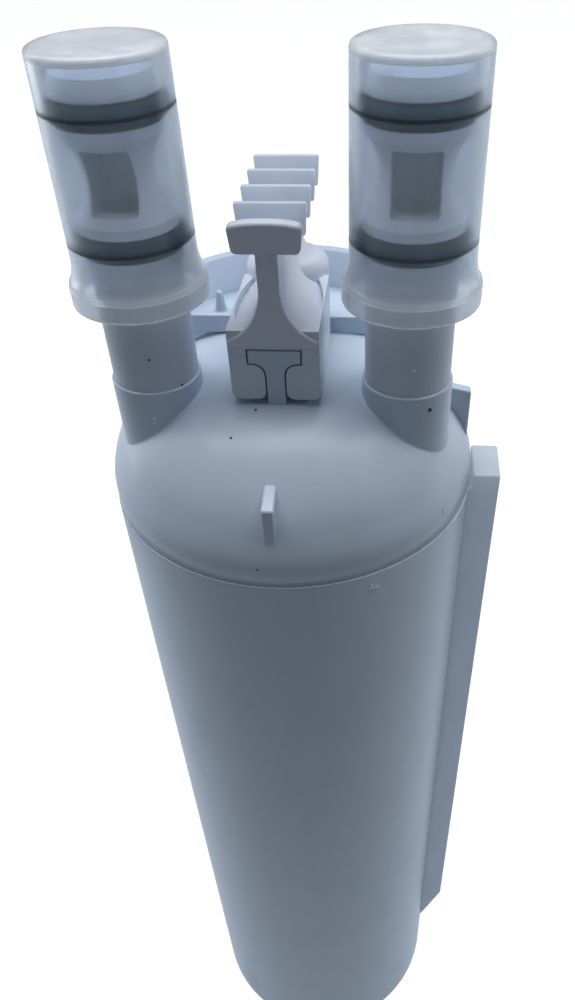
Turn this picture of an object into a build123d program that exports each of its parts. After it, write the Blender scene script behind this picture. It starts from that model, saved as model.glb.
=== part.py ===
from build123d import *
import math
import os

# Fridge water filter cartridge. Millimetres, +Z up, the origin at the middle of
# the flat bottom. The nozzles point up, +X is the side with the guide rail and
# -Y is the front, where the key opens.

# Body shell
BODY_RADIUS = 31.2
BODY_WALL = 2.2
BODY_FLOOR = 3.0
BODY_HEIGHT = 192.0
BODY_EDGE_RADIUS = 4.5
BODY_INNER_EDGE_RADIUS = 2.3

# Guide rail on the side of the body shell
RAIL_PROUD = 4.9
RAIL_WIDTH = 9.2
RAIL_TOP_ABOVE_SEAM = 2.6
RAIL_BOTTOM_HEIGHT = 24.0
RAIL_RAMP_LENGTH = 15.0
RAIL_EDGE_RADIUS = 0.5
RAIL_HEAD_GAP = 0.3

# Head cap: a skirt that runs smoothly into a knuckle and a flat crown
SEAM_LEDGE = 0.2
SKIRT_HEIGHT = 3.6
SHOULDER_HEIGHT = 9.6
CROWN_ABOVE_SEAM = 21.9
CROWN_RADIUS = 200.0
KNUCKLE_RADIUS = 20.0
HEAD_WALL = 2.6
SPIGOT_LENGTH = 8.0
SPIGOT_WALL = 2.0
SPIGOT_CLEARANCE = 0.05

# Bosses and nozzles stand on a chord in front of the middle
NOZZLE_SIDE_INSET = 11.6
NOZZLE_CHORD_Y = -7.8
BOSS_STEP = 0.38
BOSS_ABOVE_CROWN = 1.8
BOSS_EDGE_RADIUS = 0.3
BOSS_INNER_DEPTH = 15.5
BOSS_INNER_STEP = 0.58
SOCKET_DEPTH = 5.5
SOCKET_CLEARANCE = 0.05

NOZZLE_RADIUS = 6.5
NOZZLE_HEIGHT = 41.6
NOZZLE_BORE_RADIUS = 3.3
NOZZLE_SHOULDER = 1.0
NOZZLE_LEAD_IN = 0.7
FLANGE_PROUD = 0.45
FLANGE_THICKNESS = 1.3
UPPER_RING_DROP = 4.0
RING_PITCH = 16.2
GROOVE_WIDTH = 3.2
WAIST_RADIUS = 4.75
PORT_WIDTH = 6.3
PORT_HEIGHT = 8.2
PORT_BACK_WALL = 1.1
PORT_CORNER_RADIUS = 0.5

# O-rings: thickness and inner diameter are stock sizes
NOZZLE_RING_SECTION = 2.62
NOZZLE_RING_BORE = 10.77
RING_SEAT_GAP = 0.03

# Protective caps
CAP_RING_CLEARANCE = 0.08
CAP_WALL = 0.7
CAP_LENGTH = 31.6
CAP_TOP_THICKNESS = 0.8
CAP_HEAD_ROOM = 1.8
CAP_DRAFT = 0.2
CAP_EDGE_RADIUS = 0.6
CAP_BRIM_OUT = 1.065
CAP_COLLAR_HEIGHT = 2.6
CAP_STEP = 0.15
CAP_FLARE_HEIGHT = 4.0
CAP_FLARE_BEND_OUT = 0.33
CAP_FLARE_BEND_UP = 0.45

# T-rail on the crown, which carries the key
TEE_HALF_WIDTH = 3.85
TEE_ABOVE_CROWN = 8.5
TEE_THICKNESS = 2.1
TEE_STEM_HALF = 1.35
TEE_FILLET = 2.0
TEE_REAR_Y = 4.1

# Key: block on the T-rail, flared pylon, front bar and comb of plates
KEY_FRONT_Y = -13.2
KEY_REAR_STOP = 1.2
KEY_HALF_WIDTH = 6.65
KEY_ABOVE_CROWN = 0.5
KEY_RIM_ABOVE_TEE = 3.1
KEY_TAIL_ABOVE_PLATFORM = 0.5
KEY_SLOT_GAP = 0.22
KEY_PAD_RADIUS = 1.2
KEY_TOP_ABOVE_TEE = 18.2
KEY_WEB_HALF = 1.5
KEY_FLARE_RADIUS = 8.0
KEY_FLARE_TOP_ABOVE_TEE = 9.1
KEY_PROUD = 0.4
KEY_SCOOP_OVERSHOOT = 3.75
KEY_EAR_DEPTH = 1.05
KEY_SCOOP_RIM = 0.2
KEY_DOME_INSET = 0.15
KEY_DOME_HALF_LENGTH = 5.6
KEY_DOME_ABOVE_TEE = 6.2
KEY_DOME_EDGE_RADIUS = 2.5
PLATE_HALF_WIDTH = 4.95
PLATE_TAPER = 0.25
PLATE_HEIGHT = 4.0
PLATE_CORNER = 0.25
PLATE_PITCH = 6.4
PLATE_COUNT = 4
PLATE_THICKNESS = 0.9
PLATE_REAR_INSET = 0.1
FRONT_BAR_THICKNESS = 1.9
FRONT_BAR_PROUD = 0.3
FRONT_BAR_CORNER = 0.8
FRONT_BAR_CROWN = 0.35
FRONT_BAR_EDGE_RADIUS = 0.3
WEB_INTO_PLATES = 0.6

# Rear platform, its arc wall and its peg
PLATFORM_FRONT_Y = 9.2
PLATFORM_ABOVE_CROWN = 2.6
PLATFORM_THICKNESS = 3.3
PLATFORM_EDGE_RADIUS = 0.3
WALL_EDGE_INSET = 7.7
WALL_THICKNESS = 1.8
WALL_HEIGHT = 6.5
WALL_EDGE_RADIUS = 0.4
PEG_X = -12.4
PEG_SETBACK = 1.8
PEG_HEIGHT = 3.5
PEG_RADIUS = 0.95
PEG_TIP_RADIUS = 0.55

# Short radial ribs on the knuckle
RIB_THICKNESS = 1.9
RIB_EDGE_INSET = 1.0
RIB_LENGTH = 7.5
RIB_TOP_BELOW_CROWN = 7.5
RIB_RISE = 1.8
RIB_EDGE_RADIUS = 0.4
SIDE_RIB_LIFT = 2.4

# Filter element
ELEMENT_SIDE_GAP = 1.75
BLOCK_BORE_RADIUS = 8.0
CORE_WALL = 0.8
LAYER_GAP = 0.05
WRAP_THICKNESS = 1.4
NET_THICKNESS = 0.6
NET_ROWS = 9
NET_COLUMNS = 12
NET_STRAND = 2.2
CAP_DISC_THICKNESS = 2.4
CAP_RIM_HEIGHT = 6.0
CAP_RIM_WALL = 1.1
CAP_PLUG_HEIGHT = 5.0
FOOT_HEIGHT = 5.0
FOOT_WIDTH = 2.0
FOOT_COUNT = 6
FOOT_CLEARANCE = 0.3
NECK_CUP_GAP = 0.62
NECK_BORE_RADIUS = 4.5
NECK_HEIGHT = 15.0
NECK_END_GAP = 2.0
NECK_RING_SECTION = 1.78
NECK_RING_BORE = 12.42
NECK_RING_DROP = 4.0
NECK_LEAD_IN = 1.0
GROOVE_PER_SECTION = 1.2

# Flow manifold between the element and the outlet nozzle
CUP_WALL = 1.8
CUP_DEPTH = 10.0
CUP_FLOOR_BELOW_SEAM = 3.0
CHANNEL_HEIGHT = 5.2
CHANNEL_BORE_RADIUS = 1.7
OUTLET_RADIUS = 3.9
OUTLET_RING_SECTION = 1.78
OUTLET_RING_BORE = 5.28
OUTLET_RING_DROP = 2.2
OUTLET_ENTRY = 6.0
POST_RADIUS = 3.0
POST_GAP = 0.1

# How far cutters run past a face, and how deep details root into the dome
OVERRUN = 1.0
ROOT_DEPTH = 1.7

# Places that follow from the sizes above
SEAM_Z = BODY_HEIGHT
CROWN_Z = SEAM_Z + CROWN_ABOVE_SEAM
HEAD_RADIUS = BODY_RADIUS - SEAM_LEDGE
BODY_INNER_RADIUS = BODY_RADIUS - BODY_WALL
KNUCKLE_CENTRE_R = HEAD_RADIUS - KNUCKLE_RADIUS
NOZZLE_HALF_PITCH = HEAD_RADIUS - NOZZLE_SIDE_INSET
NOZZLE_SPIGOT_RADIUS = NOZZLE_RADIUS - NOZZLE_SHOULDER
FLANGE_RADIUS = NOZZLE_RADIUS + FLANGE_PROUD
BOSS_RADIUS = NOZZLE_RADIUS + BOSS_STEP
BOSS_INNER_RADIUS = BOSS_RADIUS - BOSS_INNER_STEP
BOSS_TOP_Z = CROWN_Z + BOSS_ABOVE_CROWN
NOZZLE_TOP_Z = BOSS_TOP_Z + NOZZLE_HEIGHT
UPPER_RING_Z = NOZZLE_TOP_Z - UPPER_RING_DROP
LOWER_RING_Z = UPPER_RING_Z - RING_PITCH
NOZZLE_RING_RADIUS = (NOZZLE_RING_BORE + NOZZLE_RING_SECTION) / 2
RING_OUTER_RADIUS = NOZZLE_RING_BORE / 2 + NOZZLE_RING_SECTION
GROOVE_ROOT_RADIUS = NOZZLE_RING_BORE / 2 - RING_SEAT_GAP
CAP_INNER_RADIUS = RING_OUTER_RADIUS + CAP_RING_CLEARANCE
CAP_OUTER_RADIUS = CAP_INNER_RADIUS + CAP_WALL
CAP_BRIM_RADIUS = CAP_OUTER_RADIUS + CAP_BRIM_OUT
CAP_TOP_Z = NOZZLE_TOP_Z + CAP_HEAD_ROOM + CAP_TOP_THICKNESS
CAP_BOTTOM_Z = CAP_TOP_Z - CAP_LENGTH
TEE_TOP_Z = CROWN_Z + TEE_ABOVE_CROWN
KEY_BLOCK_REAR_Y = TEE_REAR_Y + KEY_REAR_STOP
KEY_PYLON_FRONT_Y = KEY_FRONT_Y - KEY_PROUD
LAST_PLATE_Y = KEY_PYLON_FRONT_Y + PLATE_COUNT * PLATE_PITCH
KEY_TAIL_REAR_Y = LAST_PLATE_Y + PLATE_THICKNESS + PLATE_REAR_INSET
KEY_BOTTOM_Z = CROWN_Z + KEY_ABOVE_CROWN
KEY_RIM_Z = TEE_TOP_Z + KEY_RIM_ABOVE_TEE
KEY_TOP_Z = TEE_TOP_Z + KEY_TOP_ABOVE_TEE
KEY_FLARE_Z = TEE_TOP_Z + KEY_FLARE_TOP_ABOVE_TEE
PLATFORM_TOP_Z = CROWN_Z + PLATFORM_ABOVE_CROWN
WALL_OUTER_RADIUS = HEAD_RADIUS - WALL_EDGE_INSET
WALL_INNER_RADIUS = WALL_OUTER_RADIUS - WALL_THICKNESS
RIB_REACH = HEAD_RADIUS - RIB_EDGE_INSET
END_CAP_RADIUS = BODY_INNER_RADIUS - ELEMENT_SIDE_GAP
NET_OUTER_RADIUS = END_CAP_RADIUS - CAP_RIM_WALL - LAYER_GAP
NET_INNER_RADIUS = NET_OUTER_RADIUS - NET_THICKNESS
WRAP_OUTER_RADIUS = NET_INNER_RADIUS - LAYER_GAP
WRAP_INNER_RADIUS = WRAP_OUTER_RADIUS - WRAP_THICKNESS
BLOCK_RADIUS = WRAP_INNER_RADIUS - LAYER_GAP
CUP_FLOOR_Z = SEAM_Z - CUP_FLOOR_BELOW_SEAM
NECK_TOP_Z = CUP_FLOOR_Z - NECK_END_GAP
NECK_RING_Z = NECK_TOP_Z - NECK_RING_DROP
ELEMENT_TOP_Z = NECK_TOP_Z - NECK_HEIGHT
ELEMENT_BOTTOM_Z = BODY_FLOOR + FOOT_HEIGHT
BLOCK_TOP_Z = ELEMENT_TOP_Z - CAP_DISC_THICKNESS
BLOCK_BOTTOM_Z = ELEMENT_BOTTOM_Z + CAP_DISC_THICKNESS
NECK_RING_RADIUS = (NECK_RING_BORE + NECK_RING_SECTION) / 2
CUP_INNER_RADIUS = NECK_RING_BORE / 2 + NECK_RING_SECTION + RING_SEAT_GAP
NECK_RADIUS = CUP_INNER_RADIUS - NECK_CUP_GAP
CHANNEL_TOP_Z = CUP_FLOOR_Z + CHANNEL_HEIGHT
BOSS_INNER_Z = BOSS_TOP_Z - BOSS_INNER_DEPTH
OUTLET_TOP_Z = BOSS_INNER_Z + OUTLET_ENTRY
OUTLET_RING_Z = OUTLET_TOP_Z - OUTLET_RING_DROP
OUTLET_RING_RADIUS = (OUTLET_RING_BORE + OUTLET_RING_SECTION) / 2
PASSAGE_RADIUS = OUTLET_RING_BORE / 2 + OUTLET_RING_SECTION + RING_SEAT_GAP


def turned(*edges):
    """A solid of revolution from edges drawn as radius and height."""
    outline = Curve() + list(edges)
    return revolve(Plane.XZ * make_face(outline), Axis.Z, 360)


def turned_polygon(*points):
    """A solid of revolution from the corners of its section."""
    return turned(Polyline(*points, close=True))


def tube(outer, inner, bottom, top):
    """A round tube about the Z axis."""
    return turned_polygon((inner, bottom), (outer, bottom), (outer, top), (inner, top))


def rod(radius, bottom, top, x=0.0, y=0.0):
    """A round rod that stands at x and y."""
    height = top - bottom
    return Pos(x, y, bottom + height / 2) * Cylinder(radius, height)


def block(x0, x1, y0, y1, z0, z1):
    """A box between two corners."""
    middle = Pos((x0 + x1) / 2, (y0 + y1) / 2, (z0 + z1) / 2)
    return middle * Box(x1 - x0, y1 - y0, z1 - z0)


def along_y(face, front_y, rear_y):
    """A bar along Y from its section, drawn as X and height."""
    return Pos(0, rear_y, 0) * extrude(Plane.XZ * face, rear_y - front_y)


def upright(face, bottom, top):
    """A prism that stands on a plan drawn as X and Y."""
    return extrude(Pos(0, 0, bottom) * face, top - bottom)


def ring(radius, section, z):
    """An O-ring about the Z axis."""
    return Pos(0, 0, z) * Torus(radius, section / 2)


def knuckle_centre_z():
    """Height of the knuckle's centre, from which it runs smoothly into the crown."""
    reach = (CROWN_RADIUS - KNUCKLE_RADIUS) ** 2 - KNUCKLE_CENTRE_R ** 2
    return CROWN_Z - CROWN_RADIUS + math.sqrt(reach)


def knuckle_z(radius_at):
    """Height of the dome on its knuckle, at a distance from the axis."""
    rise = KNUCKLE_RADIUS ** 2 - (radius_at - KNUCKLE_CENTRE_R) ** 2
    return knuckle_centre_z() + math.sqrt(rise)


def dome_solid(inset, foot_height):
    """The dome's solid down to a foot height above the seam, inset by a wall."""
    centre_z = knuckle_centre_z()
    radius = KNUCKLE_RADIUS - inset
    crown_z = CROWN_Z - inset
    crown_centre_z = CROWN_Z - CROWN_RADIUS
    join = math.atan2(centre_z - crown_centre_z, KNUCKLE_CENTRE_R)
    foot_z = SEAM_Z + foot_height
    foot = math.asin((foot_z - centre_z) / radius)
    crown_span = math.degrees(math.pi / 2 - join)
    crown = CenterArc((0, crown_centre_z), CROWN_RADIUS - inset, math.degrees(join), crown_span)
    span = math.degrees(join - foot)
    knuckle = CenterArc((KNUCKLE_CENTRE_R, centre_z), radius, math.degrees(foot), span)
    edge_r = KNUCKLE_CENTRE_R + radius * math.cos(foot)
    sides = Polyline((0, crown_z), (0, foot_z), (edge_r, foot_z))
    return turned(crown, knuckle, sides)


def body_shell():
    """Round shell with a closed floor, a rounded lower edge and the guide rail."""
    outer = rod(BODY_RADIUS, 0, BODY_HEIGHT)
    outer = fillet(outer.edges().group_by(Axis.Z)[0], BODY_EDGE_RADIUS)
    hollow = rod(BODY_INNER_RADIUS, BODY_FLOOR, BODY_HEIGHT + OVERRUN)
    hollow = fillet(hollow.edges().group_by(Axis.Z)[0], BODY_INNER_EDGE_RADIUS)
    return outer + guide_rail() - hollow


def guide_rail():
    """Straight rail with a flat face, a square top and a ramp at its foot."""
    outer_x = BODY_RADIUS + RAIL_PROUD
    root_x = BODY_RADIUS - BODY_WALL / 2
    top_z = SEAM_Z + RAIL_TOP_ABOVE_SEAM
    ramp_z = RAIL_BOTTOM_HEIGHT + RAIL_RAMP_LENGTH
    inner_x = BODY_RADIUS + RAIL_HEAD_GAP
    outline = Polyline(
        (root_x, RAIL_BOTTOM_HEIGHT),
        (BODY_RADIUS, RAIL_BOTTOM_HEIGHT),
        (outer_x, ramp_z),
        (outer_x, top_z),
        (inner_x, top_z),
        (inner_x, SEAM_Z),
        (root_x, SEAM_Z),
        close=True,
    )
    bar = extrude(Plane.XZ * make_face(outline), RAIL_WIDTH / 2, both=True)
    face_edges = bar.edges().filter_by(Axis.Z).sort_by(Axis.X)[-2:]
    return fillet(face_edges, RAIL_EDGE_RADIUS)


def head_cap():
    """Moulded head: dome, spigot, bosses, T-rail, ribs and rear platform."""
    outside = skirt() + dome_solid(0, 0)
    spigot_radius = BODY_INNER_RADIUS - SPIGOT_CLEARANCE
    outside += rod(spigot_radius, SEAM_Z - SPIGOT_LENGTH, SEAM_Z)
    for side in (-1, 1):
        outside += boss(side)
    outside += tee_rail() + platform()
    outside += Rot(0, 0, -90) * radial_rib(0) + radial_rib(SIDE_RIB_LIFT)
    inside = dome_solid(HEAD_WALL, HEAD_WALL)
    spigot_bottom = SEAM_Z - SPIGOT_LENGTH - OVERRUN
    inside += rod(spigot_radius - SPIGOT_WALL, spigot_bottom, SEAM_Z + HEAD_WALL)
    head = outside - inside
    for side in (-1, 1):
        head += inner_boss(side) & dome_solid(HEAD_WALL / 2, 0)
    for side in (-1, 1):
        head -= boss_bore(side)
    return head


def skirt():
    """Upright skirt with a shoulder that meets the knuckle in a smooth curve."""
    skirt_z = SEAM_Z + SKIRT_HEIGHT
    top_z = SEAM_Z + SHOULDER_HEIGHT
    rise = top_z - knuckle_centre_z()
    reach = math.sqrt(KNUCKLE_RADIUS ** 2 - rise ** 2)
    top = (KNUCKLE_CENTRE_R + reach, top_z)
    shoulder = Spline((HEAD_RADIUS, skirt_z), top, tangents=((0, 1), (-rise, reach)))
    sides = Polyline(top, (0, top_z), (0, SEAM_Z), (HEAD_RADIUS, SEAM_Z), (HEAD_RADIUS, skirt_z))
    return turned(shoulder, sides)


def boss(side):
    """Round boss that carries one nozzle."""
    x = side * NOZZLE_HALF_PITCH
    post = rod(BOSS_RADIUS, SEAM_Z + HEAD_WALL, BOSS_TOP_Z, x, NOZZLE_CHORD_Y)
    return fillet(post.edges().group_by(Axis.Z)[-1], BOSS_EDGE_RADIUS)


def inner_boss(side):
    """The part of a boss inside the dome."""
    x = side * NOZZLE_HALF_PITCH
    return rod(BOSS_INNER_RADIUS, BOSS_INNER_Z, BOSS_TOP_Z, x, NOZZLE_CHORD_Y)


def boss_bore(side):
    """The nozzle's socket and the water passage below it."""
    x = side * NOZZLE_HALF_PITCH
    socket = NOZZLE_SPIGOT_RADIUS + SOCKET_CLEARANCE
    floor_z = BOSS_TOP_Z - SOCKET_DEPTH
    bore = rod(socket, floor_z, BOSS_TOP_Z + OVERRUN, x, NOZZLE_CHORD_Y)
    passage = rod(PASSAGE_RADIUS, SEAM_Z, floor_z + OVERRUN, x, NOZZLE_CHORD_Y)
    return bore + passage


def tee_outline(grow):
    """Section of the T-rail across its length, grown by a gap."""
    top_z = TEE_TOP_Z + grow
    under_z = TEE_TOP_Z - TEE_THICKNESS - grow
    half = TEE_HALF_WIDTH + grow
    stem = TEE_STEM_HALF + grow
    bend = TEE_FILLET - grow
    foot_z = CROWN_Z - ROOT_DEPTH
    right = Polyline(
        (stem, foot_z),
        (stem, under_z - bend),
        (stem + bend, under_z),
        (half, under_z),
        (half, top_z),
        (0, top_z),
    )
    foot = Line((-stem, foot_z), (stem, foot_z))
    section = make_face(Curve() + [right, mirror(right, Plane.YZ), foot])
    for side in (-1, 1):
        corner = (side * (stem + bend), under_z - bend)
        section -= Pos(*corner) * Circle(bend)
    return section


def tee_rail():
    """T-rail along Y, standing on the crown."""
    return along_y(tee_outline(0), KEY_FRONT_Y, TEE_REAR_Y)


def radial_rib(lift):
    """Short rib on the knuckle, drawn along +X."""
    top_z = CROWN_Z - RIB_TOP_BELOW_CROWN + lift
    foot_z = SEAM_Z + HEAD_WALL
    root = RIB_REACH - RIB_LENGTH
    outline = Polyline(
        (root, foot_z),
        (RIB_REACH, foot_z),
        (RIB_REACH, top_z),
        (root, top_z + RIB_RISE),
        close=True,
    )
    rib = extrude(Plane.XZ * make_face(outline), RIB_THICKNESS / 2, both=True)
    return fillet(rib.edges(), RIB_EDGE_RADIUS)


def platform():
    """Shelf behind the nozzles with its arc wall and its peg."""
    outer = WALL_OUTER_RADIUS
    behind = block(-outer, outer, PLATFORM_FRONT_Y, outer, SEAM_Z, PLATFORM_TOP_Z + 2 * WALL_HEIGHT)
    shelf = rod(outer, PLATFORM_TOP_Z - PLATFORM_THICKNESS, PLATFORM_TOP_Z) & behind
    shelf = fillet(shelf.edges().filter_by(Axis.X), PLATFORM_EDGE_RADIUS)
    wall_foot_z = knuckle_z(outer) - ROOT_DEPTH
    wall = tube(outer, WALL_INNER_RADIUS, wall_foot_z, PLATFORM_TOP_Z + WALL_HEIGHT)
    wall = fillet(wall.edges().group_by(Axis.Z)[-1], WALL_EDGE_RADIUS) & behind
    peg_place = Pos(PEG_X, PLATFORM_FRONT_Y + PEG_SETBACK, PLATFORM_TOP_Z + PEG_HEIGHT / 2)
    return shelf + wall + peg_place * Cone(PEG_RADIUS, PEG_TIP_RADIUS, PEG_HEIGHT)


def nozzle(side):
    """Nozzle: spigot, tube, two O-ring grooves and a waist with a side port."""
    base = BOSS_TOP_Z
    spigot_z = base - SOCKET_DEPTH
    flange = GROOVE_WIDTH / 2 + FLANGE_THICKNESS
    waist_bottom = LOWER_RING_Z + flange
    waist_top = UPPER_RING_Z - flange
    waist = ThreePointArc(
        (FLANGE_RADIUS, waist_bottom),
        (WAIST_RADIUS, (waist_bottom + waist_top) / 2),
        (FLANGE_RADIUS, waist_top),
    )
    lower = Polyline(
        (0, spigot_z),
        (NOZZLE_SPIGOT_RADIUS, spigot_z),
        (NOZZLE_SPIGOT_RADIUS, base),
        (NOZZLE_RADIUS, base),
        (NOZZLE_RADIUS, LOWER_RING_Z - flange),
        *groove_points(LOWER_RING_Z),
        (FLANGE_RADIUS, waist_bottom),
    )
    upper = Polyline(
        *groove_points(UPPER_RING_Z),
        (FLANGE_RADIUS, NOZZLE_TOP_Z - 2 * NOZZLE_LEAD_IN),
        (FLANGE_RADIUS - NOZZLE_LEAD_IN, NOZZLE_TOP_Z),
        (0, NOZZLE_TOP_Z),
        (0, spigot_z),
    )
    body = turned(lower, waist, upper)
    middle_z = (waist_bottom + waist_top) / 2
    port_bottom = middle_z - PORT_HEIGHT / 2
    port_top = port_bottom + PORT_HEIGHT
    back_y = WAIST_RADIUS - PORT_BACK_WALL
    half_port = PORT_WIDTH / 2
    port = block(-half_port, half_port, -FLANGE_RADIUS, back_y, port_bottom, port_top)
    body -= fillet(port.edges().filter_by(Axis.Y), PORT_CORNER_RADIUS)
    body -= rod(NOZZLE_BORE_RADIUS, spigot_z, port_bottom + OVERRUN)
    return Pos(side * NOZZLE_HALF_PITCH, NOZZLE_CHORD_Y, 0) * body


def groove_points(z):
    """Corners of a flange, a groove at a height and the flange above it."""
    low = z - GROOVE_WIDTH / 2
    high = z + GROOVE_WIDTH / 2
    return (
        (FLANGE_RADIUS, low - FLANGE_THICKNESS),
        (FLANGE_RADIUS, low),
        (GROOVE_ROOT_RADIUS, low),
        (GROOVE_ROOT_RADIUS, high),
        (FLANGE_RADIUS, high),
    )


def nozzle_ring(side, z):
    """O-ring in one of a nozzle's grooves."""
    torus = ring(NOZZLE_RING_RADIUS, NOZZLE_RING_SECTION, z)
    return Pos(side * NOZZLE_HALF_PITCH, NOZZLE_CHORD_Y, 0) * torus


def protective_cap(side):
    """Thin closed cap with a flared and stepped brim."""
    collar_top = CAP_BOTTOM_Z + CAP_COLLAR_HEIGHT
    flare_top = collar_top + CAP_FLARE_HEIGHT
    step_r = CAP_BRIM_RADIUS - CAP_STEP
    bend_r = CAP_OUTER_RADIUS + CAP_FLARE_BEND_OUT * (step_r - CAP_OUTER_RADIUS)
    bend_z = collar_top + CAP_FLARE_BEND_UP * CAP_FLARE_HEIGHT
    top_r = CAP_OUTER_RADIUS - CAP_DRAFT
    collar = Polyline(
        (0, CAP_BOTTOM_Z),
        (CAP_BRIM_RADIUS, CAP_BOTTOM_Z),
        (CAP_BRIM_RADIUS, collar_top),
        (step_r, collar_top),
    )
    flare = ThreePointArc((step_r, collar_top), (bend_r, bend_z), (CAP_OUTER_RADIUS, flare_top))
    sleeve = Polyline(
        (CAP_OUTER_RADIUS, flare_top),
        (top_r, CAP_TOP_Z),
        (0, CAP_TOP_Z),
        (0, CAP_BOTTOM_Z),
    )
    outside = turned(collar, flare, sleeve)
    outside = fillet(outside.edges().group_by(Axis.Z)[-1], CAP_EDGE_RADIUS)
    mouth = step_r - CAP_WALL
    roof_z = CAP_TOP_Z - CAP_TOP_THICKNESS
    below_z = CAP_BOTTOM_Z - OVERRUN
    inner_bend = (bend_r - CAP_WALL, bend_z)
    inner_flare = ThreePointArc((mouth, collar_top), inner_bend, (CAP_INNER_RADIUS, flare_top))
    hollow = turned(
        Polyline((0, below_z), (mouth, below_z), (mouth, collar_top)),
        inner_flare,
        Polyline((CAP_INNER_RADIUS, flare_top), (CAP_INNER_RADIUS, roof_z), (0, roof_z), (0, below_z)),
    )
    return Pos(side * NOZZLE_HALF_PITCH, NOZZLE_CHORD_Y, 0) * (outside - hollow)


def key_section():
    """Section of the pylon across its length: a web that flares to a wide foot."""
    top_z = KEY_TOP_Z - PLATE_HEIGHT + WEB_INTO_PLATES
    flare_z = KEY_FLARE_Z
    foot_z = TEE_TOP_Z + 2 * KEY_SLOT_GAP
    centre_x = KEY_WEB_HALF + KEY_FLARE_RADIUS
    rise = math.sqrt(KEY_FLARE_RADIUS ** 2 - (centre_x - KEY_HALF_WIDTH) ** 2)
    edge_z = flare_z - rise
    middle_x = (KEY_WEB_HALF + KEY_HALF_WIDTH) / 2
    middle_z = flare_z - math.sqrt(KEY_FLARE_RADIUS ** 2 - (centre_x - middle_x) ** 2)
    right = [
        Line((KEY_WEB_HALF, top_z), (KEY_WEB_HALF, flare_z)),
        ThreePointArc((KEY_WEB_HALF, flare_z), (middle_x, middle_z), (KEY_HALF_WIDTH, edge_z)),
        Line((KEY_HALF_WIDTH, edge_z), (KEY_HALF_WIDTH, foot_z)),
    ]
    left = [mirror(edge, Plane.YZ) for edge in right]
    ends = [
        Line((-KEY_WEB_HALF, top_z), (KEY_WEB_HALF, top_z)),
        Line((-KEY_HALF_WIDTH, foot_z), (KEY_HALF_WIDTH, foot_z)),
    ]
    return make_face(Curve() + right + left + ends)


def key_plan(front_y):
    """Plan of the key: square at the front, an oval tail at the back."""
    tail = KEY_TAIL_REAR_Y - KEY_BLOCK_REAR_Y
    plan = Pos(0, KEY_BLOCK_REAR_Y) * Ellipse(KEY_HALF_WIDTH, tail)
    middle = Pos(0, (front_y + KEY_BLOCK_REAR_Y) / 2)
    return plan + middle * Rectangle(2 * KEY_HALF_WIDTH, KEY_BLOCK_REAR_Y - front_y)


def key_bar():
    """Thick front bar with a crowned top, narrower at its foot."""
    half = PLATE_HALF_WIDTH
    foot = half - PLATE_TAPER
    bottom_z = KEY_TOP_Z - PLATE_HEIGHT
    sides = Polyline((-half, KEY_TOP_Z), (-foot, bottom_z), (foot, bottom_z), (half, KEY_TOP_Z))
    crown = ThreePointArc((half, KEY_TOP_Z), (0, KEY_TOP_Z + FRONT_BAR_CROWN), (-half, KEY_TOP_Z))
    face = fillet(make_face(Curve() + [sides, crown]).vertices(), FRONT_BAR_CORNER)
    front_y = KEY_PYLON_FRONT_Y - FRONT_BAR_PROUD
    bar = along_y(face, front_y, front_y + FRONT_BAR_THICKNESS)
    return fillet(bar.faces().sort_by(Axis.Y)[0].edges(), FRONT_BAR_EDGE_RADIUS)


def key_plate(front_y):
    """One thin plate of the comb, as tall as the bar's crown."""
    half = PLATE_HALF_WIDTH
    foot = half - PLATE_TAPER
    bottom_z = KEY_TOP_Z - PLATE_HEIGHT
    top_z = KEY_TOP_Z + FRONT_BAR_CROWN
    outline = Polyline((-half, top_z), (-foot, bottom_z), (foot, bottom_z), (half, top_z), close=True)
    face = fillet(make_face(outline).vertices(), PLATE_CORNER)
    return along_y(face, front_y, front_y + PLATE_THICKNESS)


def key_lock():
    """Key: slotted block, flared pylon, front bar and the comb behind it."""
    half = KEY_HALF_WIDTH
    base = block(-half, half, KEY_FRONT_Y, KEY_BLOCK_REAR_Y, KEY_BOTTOM_Z, KEY_RIM_Z)
    low_edges = base.edges().filter_by(Axis.Y).group_by(Axis.Z)[0]
    base = fillet(low_edges, KEY_PAD_RADIUS)
    base -= key_scoops()
    pylon = along_y(key_section(), KEY_PYLON_FRONT_Y, KEY_TAIL_REAR_Y)
    pylon = pylon & upright(key_plan(KEY_PYLON_FRONT_Y), KEY_BOTTOM_Z, KEY_TOP_Z)
    tail_bottom_z = PLATFORM_TOP_Z + KEY_TAIL_ABOVE_PLATFORM
    tail_top_z = TEE_TOP_Z + 3 * KEY_SLOT_GAP
    key = base + pylon + upright(key_plan(KEY_FRONT_Y), tail_bottom_z, tail_top_z)
    key += key_dome(tail_bottom_z)
    key += key_bar()
    for index in range(1, PLATE_COUNT + 1):
        key += key_plate(KEY_PYLON_FRONT_Y + index * PLATE_PITCH)
    slot_front_y = KEY_PYLON_FRONT_Y - OVERRUN
    return key - along_y(tee_outline(KEY_SLOT_GAP), slot_front_y, TEE_REAR_Y + KEY_SLOT_GAP)


def key_dome(bottom_z):
    """Rounded end of the key behind the scoops."""
    plan = Ellipse(KEY_HALF_WIDTH - KEY_DOME_INSET, KEY_DOME_HALF_LENGTH)
    plan = Pos(0, KEY_TAIL_REAR_Y - KEY_DOME_HALF_LENGTH) * plan
    dome = upright(plan, bottom_z, TEE_TOP_Z + KEY_DOME_ABOVE_TEE)
    return fillet(dome.edges().group_by(Axis.Z)[-1], KEY_DOME_EDGE_RADIUS)


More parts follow.
